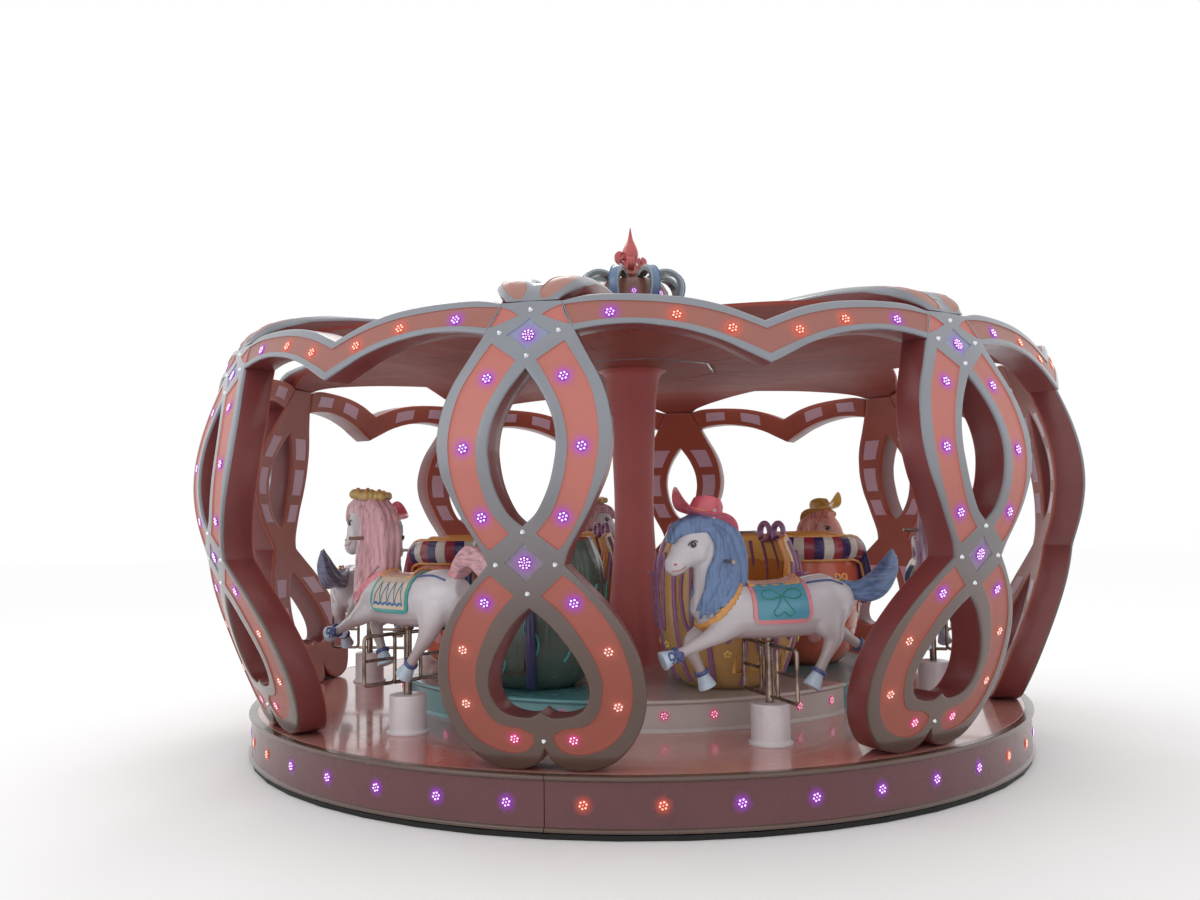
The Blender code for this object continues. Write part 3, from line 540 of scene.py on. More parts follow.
rib_low_line = np.array(smooth(rib_low, rib_steps))
rib_length = np.concatenate([[0.0], np.cumsum(np.linalg.norm(np.diff(rib_top_line, axis=0), axis=1))])
rib_marks = [float(rib_length[rib_steps * i]) for i in range(len(rib_top))]
rib_depth = 0.190
WEB_SHARE = 0.84


def rib_point(across, along, share):
    """A point of the rib's plane section: share 0 on its top line, 1 on its underside."""
    top = [float(np.interp(along, rib_length, rib_top_line[:, i])) for i in (0, 1)]
    low = [float(np.interp(along, rib_length, rib_low_line[:, i])) for i in (0, 1)]
    return Vector((across, -(top[0] + (low[0] - top[0]) * share), top[1] + (low[1] - top[1]) * share))


def on_rib(across, along, depth):
    """Each strap bowed: highest along its middle, lower at its outer edge and a little at the groove."""
    share = depth / rib_depth
    half = float(np.interp(along, rib_marks, rib_half))
    groove = float(np.interp(along, rib_marks, groove_half))
    ridge = 0.5 * (half + groove)
    reach = (abs(across) - ridge) / (half - ridge)
    bow = float(np.interp(along, rib_marks, rib_bow)) * min(reach * reach, 1.2)
    if reach < 0.0:
        bow *= 0.4
    return rib_point(across, along, share + (1.0 - share) * bow)


def station(index, half):
    return (half, rib_marks[index])


rib_edge = smooth([station(i, h) for i, h in enumerate(rib_half)])
rib_outline = mirror([(0.0, 0.0)] + rib_edge + [(0.0, rib_edge[-1][1])])
groove_line = smooth([station(2, 0.0), (0.024, rib_marks[2] + 0.014), station(3, 0.048), station(4, 0.060),
                      station(5, 0.063), station(6, 0.062), station(7, 0.056), station(8, 0.040),
                      station(9, 0.0)])
strap_outer = smooth([(0.085, 0.012), station(1, 0.142), station(2, 0.186), station(3, 0.204),
                      station(4, 0.206), station(5, 0.206), station(6, 0.204), station(7, 0.200),
                      station(8, 0.186), station(9, 0.172), (0.160, rib_marks[10] - 0.05)])
strap_inner = smooth([(0.055, rib_marks[10] - 0.05), station(9, 0.058), station(8, 0.080), station(7, 0.098),
                      station(6, 0.106), station(5, 0.108), station(4, 0.104), station(3, 0.092),
                      station(2, 0.062), station(1, 0.034), (0.050, 0.012)])
strap_panel = strap_outer + strap_inner
rib_body = moulding(rib_outline, [mirror(groove_line)], [(strap_panel, 1), (flipped(strap_panel), 1)],
                    [], on_rib, rib_depth, 0.05, 0.014, joints=[(0.130, 0.0), (0.0, 0.0), (-0.130, 0.0)])

# The web stands out from both sides of a rib at its underside, wider inwards until it fills the rib's eighth
web_reach = [0.140, 0.200, 0.300, 0.420, 0.580]
web_reach += [r * math.tan(math.pi / 8.0) - 0.0005 for r, _ in rib_low[len(web_reach):]]
for side in (-1.0, 1.0):
    web_rows = [[], [], [], []]
    for i in range(rib_steps * (len(rib_top) - 1) + 1):
        along = float(rib_length[i])
        inner = float(np.interp(along, rib_marks, rib_half)) - 0.004
        outer = float(np.interp(along, rib_marks, web_reach))
        corners = ((inner, WEB_SHARE), (outer, WEB_SHARE), (outer, 1.0), (inner, 1.0))
        for row, (across, share) in zip(web_rows, corners):
            row.append(rib_point(side * across, along, share))
    rib_body.rings(web_rows[:2], 2, closed=False)
    rib_body.rings(web_rows[1:], 3, closed=False)

# A floor closes the groove between the straps, from the third station to the tenth
floor_rows = [[], [], [], []]
for i in range(rib_steps * 2, rib_steps * 9 + 1):
    along = float(rib_length[i])
    half = float(np.interp(along, rib_marks, groove_half)) + 0.016
    corners = ((-half, WEB_SHARE), (half, WEB_SHARE), (half, 1.004), (-half, 1.004))
    for row, (across, share) in zip(floor_rows, corners):
        row.append(rib_point(across, along, share))
rib_body.rings(floor_rows[:2], 2, closed=False)
rib_body.rings(floor_rows[2:], 3, closed=False)
ceiling_paint = moulded("ceiling_paint", linear(146, 62, 50), 0.60, 0.84, 0.0)
rib_salmon = moulded("rib_salmon_paint", linear(164, 116, 104), 0.36, 0.90, 0.0)
eight_copies("roof_rib", rib_body.mesh("rib"), [silver, rib_salmon, maroon, ceiling_paint])


# Base frame: a welded steel ring on the ground that shows as a dark line under the skirt, with cross beams
# and the bearing post. The CAD's own mesh stays and only gets its paint.
black_steel = Paint("black_steel", linear(30, 28, 30), 0.5, metallic=0.3)
black_steel.feed("Roughness", black_steel.noise(9.0, 4.0) * 0.3 + 0.4)
black_steel.bump(black_steel.noise(60.0), 0.001, 0.3)
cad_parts["base_frame"].material_slots[0].material = black_steel.material


# Skirt: four maroon glass-fibre quarter panels screwed to the deck's edge, with a round silver bead along the
# top and another at the foot. Their outline is swept about the turning axis.
def swept(profile, sides, first=0.0, sweep=360.0, slots=None, body=None):
    """Sweep (radius, height) points; slots gives a material number for each profile edge."""
    body = body or Body()
    whole = sweep >= 360.0
    rings = []
    for k in range(sides if whole else sides + 1):
        rings.append([around(first + sweep * k / sides, r, z) for r, z in profile])
    count = len(profile)
    for i in range(len(rings) if whole else len(rings) - 1):
        j = (i + 1) % len(rings)
        start = len(body.points)
        body.points += [tuple(p) for p in rings[i] + rings[j]]
        for k in range(count - 1):
            body.faces.append([start + k, start + count + k, start + count + k + 1, start + k + 1])
            body.slots.append(slots[k] if slots else 0)
    return body


def close_ends(body, profile, azimuths, slot=0):
    """Flat ends on a part that is swept only some of the way round."""
    for azimuth in azimuths:
        body.sheet([around(azimuth, r, z) for r, z in profile], [tuple(range(len(profile)))], slot)


def bead(radius, height, size, start_deg, end_deg, steps=8):
    """Part of a round bead's outline, from one angle to another, as (radius, height)."""
    return [(radius + size * math.cos(math.radians(start_deg + (end_deg - start_deg) * k / steps)),
             height + size * math.sin(math.radians(start_deg + (end_deg - start_deg) * k / steps)))
            for k in range(steps + 1)]


skirt_maroon = moulded("skirt_paint", linear(94, 48, 53), 0.26, 0.84, 0.35)
top_bead = bead(2.7050, 0.2945, 0.0128, 95, -75)
low_bead = bead(2.7050, 0.0455, 0.0115, 75, -90)
skirt_wall = [(2.7005, 0.276), (2.7000, 0.270), (2.7000, 0.066), (2.7012, 0.060)]
skirt_profile = [(2.6610, 0.3065)] + top_bead + skirt_wall + low_bead + [(2.6900, 0.0325), (2.6610, 0.0325)]
skirt_slots = [0] * (len(top_bead) + 1) + [1, 1, 1] + [0] * (len(low_bead) + 2)
for k in range(4):
    quarter = swept(skirt_profile, 40, 90.0 * k + 0.045, 89.91, skirt_slots)
    close_ends(quarter, skirt_profile, (90.0 * k + 0.045, 90.0 * k + 89.955), 1)
    piece(f"skirt_panel_{k + 1}_shell", quarter.mesh("skirt"), [silver, skirt_maroon],
          replaces=[f"skirt_panel_{k + 1}"])


# Deck: a glossy pink floor of quarter sheets with fine joints, laid on the turning frame; it mirrors the
# bright surroundings and is scuffed by feet
deck_paint = Paint("deck_paint", linear(192, 122, 116), 0.16, coat_weight=0.6, coat_roughness=0.06)
deck_base = deck_paint.mix(linear(180, 104, 98), linear(204, 150, 140),
                           deck_paint.noise(0.9, 5.0).between(0.3, 0.7))
scuffs = deck_paint.noise(14.0, 8.0).between(0.60, 0.78)
deck_paint.feed("Base Color", deck_paint.mix(deck_base, linear(212, 184, 172), scuffs * 0.4))
deck_paint.feed("Roughness", deck_paint.noise(5.0, 6.0) * 0.18 + 0.08)
deck_paint.bump(deck_paint.noise(3.5, 2.0), 0.004, 0.25)
deck_profile = [(0.112, 0.3070), (1.30, 0.3070), (2.02, 0.3070), (2.6590, 0.3070), (2.6600, 0.3062),
                (2.6600, 0.2475), (2.00, 0.2475), (0.112, 0.2475)]
for k in range(4):
    quarter = swept(deck_profile, 40, 90.0 * k + 0.02, 89.96)
    close_ends(quarter, deck_profile, (90.0 * k + 0.02, 90.0 * k + 89.98))
    piece(f"deck_sheet_{k + 1}", quarter.mesh("deck"), [deck_paint.material],
          replaces=["deck"] if k == 0 else [])


# Dais: the raised inner floor, six glass-fibre sectors in white and teal, with a rounded nosing over a
# riser that carries lamps
dais_white = moulded("dais_white", linear(194, 184, 180), 0.22, 0.90, 0.4)
dais_teal = moulded("dais_teal", linear(96, 158, 164), 0.24, 0.84, 0.4)
dais_profile = [(0.20, 0.4950), (1.00, 0.4950), (1.690, 0.4950)] + bead(1.7080, 0.4830, 0.0118, 90, -90)
dais_profile += [(1.7040, 0.4700), (1.7000, 0.4640), (1.7000, 0.3300), (1.7060, 0.3220), (1.7080, 0.3075)]
for k in range(6):
    sector = swept(dais_profile, 24, 60.0 * k + 0.04, 59.92)
    close_ends(sector, dais_profile + [(0.20, 0.3075)], (60.0 * k + 0.04, 60.0 * k + 59.96))
    piece(f"dais_sector_{k + 1}", sector.mesh("dais"), [dais_teal if k % 2 else dais_white],
          replaces=["dais"] if k == 0 else [])


# Centre column: a pink glass-fibre sleeve over the steel post, waisted, with a swelling foot and a flared
# head that meets the hub's ceiling
# The sleeve is painted paler towards its foot and darker up under the hub: painted light and shade.
column_paint = moulded("centre_column_paint", linear(180, 86, 86), 0.46, 0.88, 0.0, linear(200, 104, 102),
                       0.6, 2.4)
centre_profile = smooth([(0.246, 0.4955), (0.240, 0.520), (0.228, 0.575), (0.207, 0.800), (0.178, 1.090),
                         (0.153, 1.390), (0.146, 1.690), (0.158, 2.060), (0.169, 2.290), (0.185, 2.515),
                         (0.212, 2.620), (0.260, 2.6495)], 5)
piece("centre_column_shell", swept(centre_profile, 72).mesh("column_shell"), [column_paint],
      replaces=["centre_column"], sharp=60.0)


# Roof hub: an eight-sided glass-fibre cover that the ribs run into, with a flat ceiling below and the small
# crown's stepped seat above
def eight_sided(profile, slots):
    body = Body()
    for k in range(8):
        for i in range(len(profile) - 1):
            corners = []
            for r, z in (profile[i], profile[i + 1]):
                for side in (0, 1):
                    corners.append(around(22.5 + 45.0 * (k + side), r / math.cos(math.pi / 8.0), z))
            body.sheet(corners, [(0, 1, 3, 2)], slots[i])
    return body


hub_profile = [(0.0, 2.6505), (0.585, 2.6505), (0.597, 2.656), (0.600, 2.668), (0.600, 2.872), (0.596, 2.886),
               (0.582, 2.895), (0.520, 2.941), (0.504, 2.958), (0.440, 3.034), (0.430, 3.050), (0.408, 3.108),
               (0.396, 3.1195), (0.0, 3.1195)]
hub_slots = [3, 0, 0, 2, 0, 0, 1, 0, 1, 0, 1, 0, 0]
hub_mesh = eight_sided(hub_profile, hub_slots).mesh("hub")
piece("roof_hub_shell", hub_mesh, [silver, salmon, maroon, ceiling_paint], replaces=["roof_hub"], sharp=20.0)


# Small crown: eight curled blue-grey straps with silver edges around a brown drum, like the big one below;
# one moulding, screwed to the hub's seat
def strap(path, widths, thickness, outward, slots=(0, 1, 2), rim=0.22):
    """A curved strap along path, bowed across its width, with rims in another colour."""
    body = Body()
    path = [Vector(p) for p in path]
    rings = []
    for i, p in enumerate(path):
        along = (path[min(i + 1, len(path) - 1)] - path[max(i - 1, 0)]).normalized()
        across = along.cross(outward(p)).normalized()
        out = across.cross(along).normalized()
        section = [(-1.0, -0.5), (-1.0, 0.1), (-0.88, 0.42), (-1.0 + 2.0 * rim, 0.50),
                   (-1.0 + 2.2 * rim, 0.36), (0.0, 0.46), (1.0 - 2.2 * rim, 0.36), (1.0 - 2.0 * rim, 0.50),
                   (0.88, 0.42), (1.0, 0.1), (1.0, -0.5)]
        rings.append([p + across * (a * widths[i]) + out * (b * thickness) for a, b in section])
    count = len(rings[0])
    for i in range(len(rings) - 1):
        start = len(body.points)
        body.points += [tuple(p) for p in rings[i] + rings[i + 1]]
        for k in range(count):
            nxt = (k + 1) % count
            body.faces.append([start + k, start + nxt, start + count + nxt, start + count + k])
            body.slots.append(slots[1] if k in (3, 4, 5, 6) else slots[2] if k in (0, 9, 10) else slots[0])
    for ring in (rings[0], rings[-1]):
        body.sheet(ring, [tuple(range(count))], slots[2])
    return body


crown_blue = moulded("small_crown_blue", linear(96, 124, 160), 0.26, 0.80, 0.4)
crown_silver = moulded("small_crown_silver", linear(140, 152, 164), 0.24, 0.84, 0.3)
crown_dark = moulded("small_crown_dark", linear(92, 100, 104), 0.26, 0.76, 0.3)
crown_drum = moulded("small_crown_drum", linear(118, 76, 66), 0.34, 0.84, 0.1)
curl = smooth([(0.322, 3.132), (0.374, 3.178), (0.396, 3.242), (0.390, 3.305), (0.350, 3.358), (0.286, 3.384),
               (0.216, 3.378), (0.160, 3.350), (0.132, 3.315)], 4)
curl_width = np.interp(np.linspace(0, 1, len(curl)), [0, 0.35, 0.7, 1], [0.032, 0.038, 0.033, 0.024])
crown_parts = Body()
for k in range(8):
    azimuth = -8.5 + 45.0 * k
    part = strap([around(azimuth, r, z) for r, z in curl], curl_width, 0.044,
                 lambda p: (p - Vector((0.0, 0.0, 3.24))).normalized(), rim=0.09)
    start = len(crown_parts.points)
    crown_parts.points += part.points
    crown_parts.faces += [[i + start for i in face] for face in part.faces]
    crown_parts.slots += part.slots
drum = [(0.392, 3.1205), (0.400, 3.126), (0.400, 3.142), (0.392, 3.150), (0.330, 3.154), (0.300, 3.162),
        (0.292, 3.180), (0.280, 3.245), (0.245, 3.300), (0.180, 3.338), (0.100, 3.358), (0.060, 3.3655),
        (0.0, 3.3655)]
drum_slots = [0, 0, 0, 3, 3, 3, 3, 3, 3, 3, 3, 3]
swept(drum, 64, slots=drum_slots, body=crown_parts)
piece("top_crown_shell", crown_parts.mesh("small_crown"), [crown_silver, crown_blue, crown_dark, crown_drum],
      replaces=["top_crown"])


# Finial: a red-pink bud with a long thin tip over a swelling foot, cast in one with four curled-up leaves,
# two high and two low
# The bud is painted darker and browner towards its foot, under the leaves: painted shade.
flame_paint = moulded("flame_paint", linear(188, 80, 80), 0.28, 0.74, 0.4, linear(150, 84, 76), 3.36, 3.50)
flame = Body()


def all_round(count):
    return np.linspace(0.0, 2.0 * math.pi, count, endpoint=False)


flame_line = smooth([(0.072, 3.3665), (0.084, 3.385), (0.076, 3.410), (0.056, 3.438), (0.046, 3.468),
                     (0.050, 3.498), (0.059, 3.528), (0.060, 3.560), (0.050, 3.596), (0.033, 3.634),
                     (0.019, 3.668), (0.011, 3.706), (0.0035, 3.7515)], 3)
rings = []
for r, z in flame_line:
    swirl = (z - 3.37) * 2.0
    rings.append([around(math.degrees(a), r * (1.0 + 0.08 * math.cos(5.0 * a + swirl * 3.0)), z)
                  for a in all_round(40)])
flame.rings(rings, 0, caps=True)
for azimuth, rise in ((-80.0, 0.060), (10.0, 0.0), (100.0, 0.010), (190.0, 0.050)):
    scroll = smooth([(0.030, 3.405), (0.050, 3.424), (0.080, 3.430), (0.101, 3.450), (0.101, 3.480),
                     (0.082, 3.492), (0.067, 3.480), (0.072, 3.464), (0.086, 3.466)], 3)
    widths = np.interp(np.linspace(0, 1, len(scroll)), [0, 0.4, 1], [0.024, 0.031, 0.024])
    part = strap([around(azimuth, r, z + rise) for r, z in scroll], widths, 0.040,
                 lambda p: (p - Vector((0.0, 0.0, 3.46))).normalized(), slots=(0, 0, 0))
    flame.sheet(part.points, part.faces, 0)
piece("finial_shell", flame.mesh("flame"), [flame_paint], replaces=["finial"], sharp=50.0)


# Lamps: round plastic lenses about 50 mm across, pressed into the mouldings, with a ring of bright points
# and a soft glow on the paint around them
def glow_paint(name, color, strength, reach):
    """Light on the paint round a lamp: strongest at the lens, gone at the disc's edge."""
    paint = Paint(name, color, 0.5)
    spot = paint.add("ShaderNodeVectorMath", {"operation": "LENGTH"}, [paint.place("UV")], "Value")
    fall = (1.0 - spot).math("MAXIMUM", 0.0)
    paint.feed("Alpha", fall * fall * reach)
    paint.shader.inputs["Emission Color"].default_value = color
    paint.shader.inputs["Emission Strength"].default_value = strength
    return paint.material


def point_paint(name, color, strength):
    paint = Paint(name, color, 0.3)
    paint.shader.inputs["Emission Strength"].default_value = strength
    bright = paint.mix(color, shade(color, 0.7), paint.noise(90.0).between(0.4, 0.6))
    paint.feed("Emission Color", bright)
    return paint.material


def lens_paint(name, color, strength):
    paint = Paint(name, color, 0.15, coat_weight=0.5)
    paint.feed("Base Color", paint.mix(shade(color, 0.5), color, paint.noise(70.0).between(0.35, 0.65)))
    paint.shader.inputs["Emission Color"].default_value = color
    paint.shader.inputs["Emission Strength"].default_value = strength
    return paint.material


purple_lamp = [lens_paint("purple_lens", linear(132, 36, 176), 0.35),
               point_paint("purple_points", linear(255, 214, 255), 1.15),
               glow_paint("purple_glow", linear(178, 60, 226), 0.55, 0.75)]
orange_lamp = [lens_paint("orange_lens", linear(190, 62, 46), 0.35),
               point_paint("orange_points", linear(255, 196, 170), 1.05),
               glow_paint("orange_glow", linear(255, 104, 78), 0.55, 0.60)]
pale_lamp = [lens_paint("pale_lens", linear(196, 100, 84), 0.2),
             point_paint("pale_points", linear(250, 208, 196), 0.9),
             glow_paint("pale_glow", linear(240, 120, 92), 0.4, 0.30)]
pink_lamp = [lens_paint("pink_lens", linear(190, 44, 110), 0.4),
             point_paint("pink_points", linear(255, 196, 220), 1.1),
             glow_paint("pink_glow", linear(236, 64, 136), 0.6, 0.65)]
node_lamp = [lens_paint("node_lens", linear(104, 28, 150), 0.2),
             point_paint("node_points", linear(248, 196, 255), 1.2),
             glow_paint("node_glow", linear(168, 60, 214), 0.55, 0.75)]


def face_frame(place, a, b, lift=0.0):
    """Position and axes of a point on a face: across, up and outwards."""
    step = 0.004
    origin = Vector(place(a, b, 0.0))
    across = (Vector(place(a + step, b, 0.0)) - origin).normalized()
    rising = (Vector(place(a, b + step, 0.0)) - origin).normalized()
    out = across.cross(rising).normalized()
    rising = out.cross(across).normalized()
    return Matrix.Translation(origin + out * lift) @ Matrix((across, rising, out)).transposed().to_4x4()


def round_sheet(body, matrix, sizes, slot, sides=14, uv=False):
    """Rings of (radius, height) in the lamp's own frame, closed with a middle point."""
    start = len(body.points)
    full = sizes[0][0]
    for radius, height in sizes:
        for k in range(sides):
            a = 2.0 * math.pi * k / sides
            if uv:
                body.uvs[len(body.points)] = (math.cos(a) * radius / full, math.sin(a) * radius / full)
            body.points.append(tuple(matrix @ Vector((radius * math.cos(a), radius * math.sin(a), height))))
    body.points.append(tuple(matrix @ Vector((0.0, 0.0, sizes[-1][1]))))
    tip = len(body.points) - 1
    for i in range(len(sizes) - 1):
        for k in range(sides):
            nxt = (k + 1) % sides
            body.faces.append([start + i * sides + k, start + i * sides + nxt, start + (i + 1) * sides + nxt,
                               start + (i + 1) * sides + k])
            body.slots.append(slot)
    last = start + (len(sizes) - 1) * sides
    for k in range(sides):
        body.faces.append([last + k, last + (k + 1) % sides, tip])
        body.slots.append(slot)


def lamp(body, matrix, first_slot, size=1.0, glow=0.075, petals=6):
    """A glow disc, a lens and its ring of bright points; the three materials start at first_slot."""
    round_sheet(body, matrix, [(glow, 0.0012), (glow * 0.5, 0.0014)], first_slot + 2, 20, True)
    round_sheet(body, matrix, [(0.0265 * size, 0.0), (0.0255 * size, 0.0030), (0.0180 * size, 0.0052)],
                first_slot, 18)
    rows = [(petals, 0.0172 * size, 0.0052 * size), (1, 0.0, 0.0034 * size)]
    if petals > 6:
        rows = [(petals, 0.0205 * size, 0.0042 * size), (5, 0.0108 * size, 0.0034 * size),
                (1, 0.0, 0.0030 * size)]
    for count, reach, radius in rows:
        for k in range(count):
            a = 2.0 * math.pi * (k + 0.25) / count
            spot = matrix @ Matrix.Translation((reach * math.cos(a), reach * math.sin(a), 0.0052))
            round_sheet(body, spot, [(radius, 0.0), (radius * 0.8, 0.0026)], first_slot + 1, 7)


def lamp_copies(name, body, materials, count=1):
    mesh = body.mesh(name)
    for material in materials:
        mesh.materials.append(material)
    mesh.shade_smooth()
    for k in range(count):
        own = mesh.copy()
        own.transform(Matrix.Rotation(math.radians(45.0 * k), 4, "Z"))
        obj = bpy.data.objects.new(f"{name}_{k + 1}", own)
        scene.collection.objects.link(obj)
        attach(obj, "platform")


PANEL_LIFT = -0.0065
column_lamps = Body()
for side in (-1.0, 1.0):
    for across, height in ((0.187, 2.217), (0.286, 1.881), (0.195, 1.557), (0.217, 1.155)):
        lamp(column_lamps, face_frame(on_column, side * across, height, PANEL_LIFT), 0)
    for across, height in ((0.360, 0.921), (0.382, 0.646)):
        lamp(column_lamps, face_frame(on_column, side * across, height, PANEL_LIFT), 3)
    lamp(column_lamps, face_frame(on_column, side * 0.149, 0.473, PANEL_LIFT), 6, glow=0.060)
for height in (2.428, 1.345):
    lamp(column_lamps, face_frame(on_column, 0.0, height, PANEL_LIFT), 9, 1.20, 0.080, 9)
lamp_copies("column_lamps", column_lamps, purple_lamp + pale_lamp + pink_lamp + node_lamp, 8)

arch_lamps = Body()
for azimuth, height, kind in ((7.7, 2.532, 0), (14.0, 2.514, 3), (19.2, 2.446, 3)):
    for at in (azimuth, 45.0 - azimuth):
        lamp(arch_lamps, face_frame(on_arch, arch_point(at, 0.0)[0], height, PANEL_LIFT), kind)
lamp_copies("arch_lamps", arch_lamps, purple_lamp + orange_lamp, 8)


SKIRT_RADIUS = 2.7
RISER_RADIUS = 1.7
DRUM_RADIUS = 0.29


def on_skirt(across, height, depth):
    return around(math.degrees(across / SKIRT_RADIUS), SKIRT_RADIUS - depth, height)


def on_riser(across, height, depth):
    return around(math.degrees(across / RISER_RADIUS), RISER_RADIUS - depth, height)


def on_drum(across, height, depth):
    return around(math.degrees(across / DRUM_RADIUS), 0.292 - (height - 3.18) * 0.18 - depth, height)


# Two of every seven skirt lamps are orange, in a row that runs through the front and breaks at the back
for k in range(4):
    skirt_lamps = Body()
    for number in range(11 * k, 11 * k + 11):
        across = math.radians((number + 0.5) * 360.0 / 44.0) * SKIRT_RADIUS
        orange = (number if number < 22 else number - 44) % 7 < 2
        lamp(skirt_lamps, face_frame(on_skirt, across, 0.169, 0.0004), 3 if orange else 0, glow=0.066)
    lamp_copies(f"skirt_lamps_{k + 1}", skirt_lamps, purple_lamp + orange_lamp)
dais_lamps = Body()
for i in range(36):
    across = math.radians(5.0 + 10.0 * i) * RISER_RADIUS
    lamp(dais_lamps, face_frame(on_riser, across, 0.405, 0.0004), 0, 0.9, 0.055)
lamp_copies("dais_lamps", dais_lamps, pink_lamp)
crown_lamps = Body()
for i in range(8):
    across = math.radians(14.0 + 45.0 * i) * DRUM_RADIUS
    lamp(crown_lamps, face_frame(on_drum, across, 3.205, 0.0010), 0, 0.8, 0.045)
lamp_copies("top_crown_lamps", crown_lamps, purple_lamp)


# Studs: chrome dome nuts over the bolts at the corners of the diamonds and between the feet
chrome_stud = Paint("stud_chrome", linear(225, 228, 235), 0.12, metallic=1.0)
chrome_stud.feed("Roughness", chrome_stud.noise(60.0) * 0.10 + 0.08)
studs = Body()
dome = [(0.0130, -0.001), (0.0130, 0.0018), (0.0105, 0.0026), (0.0100, 0.0056), (0.0078, 0.0096),
        (0.0040, 0.0118)]
for across, height in ((0.0, 2.559), (-0.147, 2.446), (0.147, 2.446), (0.0, 2.322), (-0.143, 1.335),
                       (0.143, 1.335), (0.0, 1.199), (0.0, 1.488), (0.0, 0.465)):
    round_sheet(studs, face_frame(on_column, across, height, 0.0), dome, 0, 14)
lamp_copies("column_studs", studs, [chrome_stud.material], 8)


# Sleeves: white plastic guides with a turned-out foot, screwed to the deck, one round each horse's pole
horse_circle = 2.110
sleeve_white = moulded("sleeve_white", linear(224, 218, 222), 0.30, 0.88, 0.3)
sleeve_profile = [(0.0262, 0.5300), (0.098, 0.5300), (0.1050, 0.5285), (0.1078, 0.5240), (0.1080, 0.5180),
                  (0.1080, 0.3400), (0.1095, 0.3290), (0.1150, 0.3215), (0.1225, 0.3195), (0.1238, 0.3180),
                  (0.1238, 0.3078), (0.0262, 0.3078), (0.0262, 0.5300)]
for k in range(6):
    sleeve_mesh = swept(sleeve_profile, 40).mesh("sleeve")
    sleeve_mesh.transform(Matrix.Translation(around(30.0 + 60.0 * k, horse_circle, 0.0)))
    piece(f"sleeve_{k + 1}_shell", sleeve_mesh, [sleeve_white], replaces=[f"sleeve_{k + 1}"])


# Horses: six prancing glass-fibre mouldings with painted cloths, saddles and hats, each on a steel pole with
# two foot loops. A body is built from rings that are fused and smoothed: (forward, height, side, half depth,
# half width), with side positive away from the turning axis.
TORSO = [(0.420, 1.130, 0.0, 0.075, 0.062), (0.375, 1.120, 0.0, 0.122, 0.104),
         (0.280, 1.100, 0.0, 0.156, 0.136), (0.150, 1.090, 0.0, 0.150, 0.146),
         (0.000, 1.086, 0.0, 0.152, 0.150), (-0.150, 1.092, 0.0, 0.156, 0.151),
         (-0.280, 1.108, 0.0, 0.166, 0.151), (-0.385, 1.122, 0.0, 0.160, 0.138),
         (-0.460, 1.145, 0.0, 0.112, 0.100)]
NECK = [(0.270, 1.090, 0.0, 0.150, 0.105), (0.300, 1.190, 0.0, 0.140, 0.092),
        (0.318, 1.300, 0.0, 0.124, 0.080), (0.336, 1.410, 0.0, 0.112, 0.074),
        (0.350, 1.500, 0.0, 0.098, 0.070)]
HEAD = [(0.335, 1.525, 0.0, 0.080, 0.062), (0.395, 1.494, 0.0, 0.106, 0.080),
        (0.448, 1.450, 0.0, 0.108, 0.084), (0.494, 1.406, 0.0, 0.088, 0.068),
        (0.530, 1.368, 0.0, 0.066, 0.052), (0.556, 1.338, 0.0, 0.060, 0.050),
        (0.570, 1.318, 0.0, 0.046, 0.040)]
CHEEK = [(0.410, 1.460, 0.045, 0.056, 0.036), (0.436, 1.412, 0.050, 0.060, 0.038),
         (0.462, 1.376, 0.042, 0.038, 0.025)]
FORE_RAISED = [(0.235, 1.060, 0.075, 0.100, 0.062), (0.340, 0.990, 0.090, 0.064, 0.054),
               (0.420, 0.950, 0.090, 0.043, 0.042), (0.480, 0.925, 0.090, 0.038, 0.036),
               (0.545, 0.897, 0.090, 0.029, 0.028), (0.600, 0.878, 0.090, 0.033, 0.031)]
FORE_FOLDED = [(0.235, 1.050, -0.075, 0.100, 0.062), (0.345, 0.980, -0.090, 0.062, 0.054),
               (0.425, 0.925, -0.090, 0.043, 0.042), (0.418, 0.860, -0.090, 0.037, 0.036),
               (0.385, 0.795, -0.090, 0.028, 0.028), (0.362, 0.745, -0.090, 0.033, 0.031)]
HIND_UNDER = [(-0.330, 1.095, 0.075, 0.140, 0.075), (-0.330, 1.010, 0.086, 0.104, 0.068),
              (-0.350, 0.935, 0.090, 0.064, 0.052), (-0.330, 0.880, 0.090, 0.042, 0.040),
              (-0.290, 0.810, 0.090, 0.030, 0.029), (-0.250, 0.738, 0.090, 0.034, 0.032)]
HIND_BACK = [(-0.345, 1.090, -0.075, 0.140, 0.075), (-0.410, 1.010, -0.086, 0.096, 0.064),
             (-0.470, 0.955, -0.090, 0.056, 0.048), (-0.525, 0.925, -0.090, 0.040, 0.038),
             (-0.585, 0.885, -0.090, 0.029, 0.028), (-0.635, 0.852, -0.090, 0.033, 0.031)]
HIND_REACHING = [(-0.330, 1.095, 0.075, 0.140, 0.075), (-0.325, 1.010, 0.086, 0.104, 0.068),
                 (-0.300, 0.930, 0.090, 0.064, 0.052), (-0.255, 0.865, 0.090, 0.043, 0.041),
                 (-0.190, 0.795, 0.090, 0.030, 0.029), (-0.135, 0.730, 0.090, 0.034, 0.032)]
LEGS = [[(FORE_RAISED, (0.655, 0.858)), (FORE_FOLDED, (0.338, 0.688)), hind, (HIND_BACK, (-0.690, 0.822))]
        for hind in ((HIND_UNDER, (-0.215, 0.682)), (HIND_REACHING, (-0.088, 0.676)))]


def rider(forward, height, side):
    """A point of a horse in its own frame: it faces -X when it stands in front."""
    return Vector((-forward, -side, height))


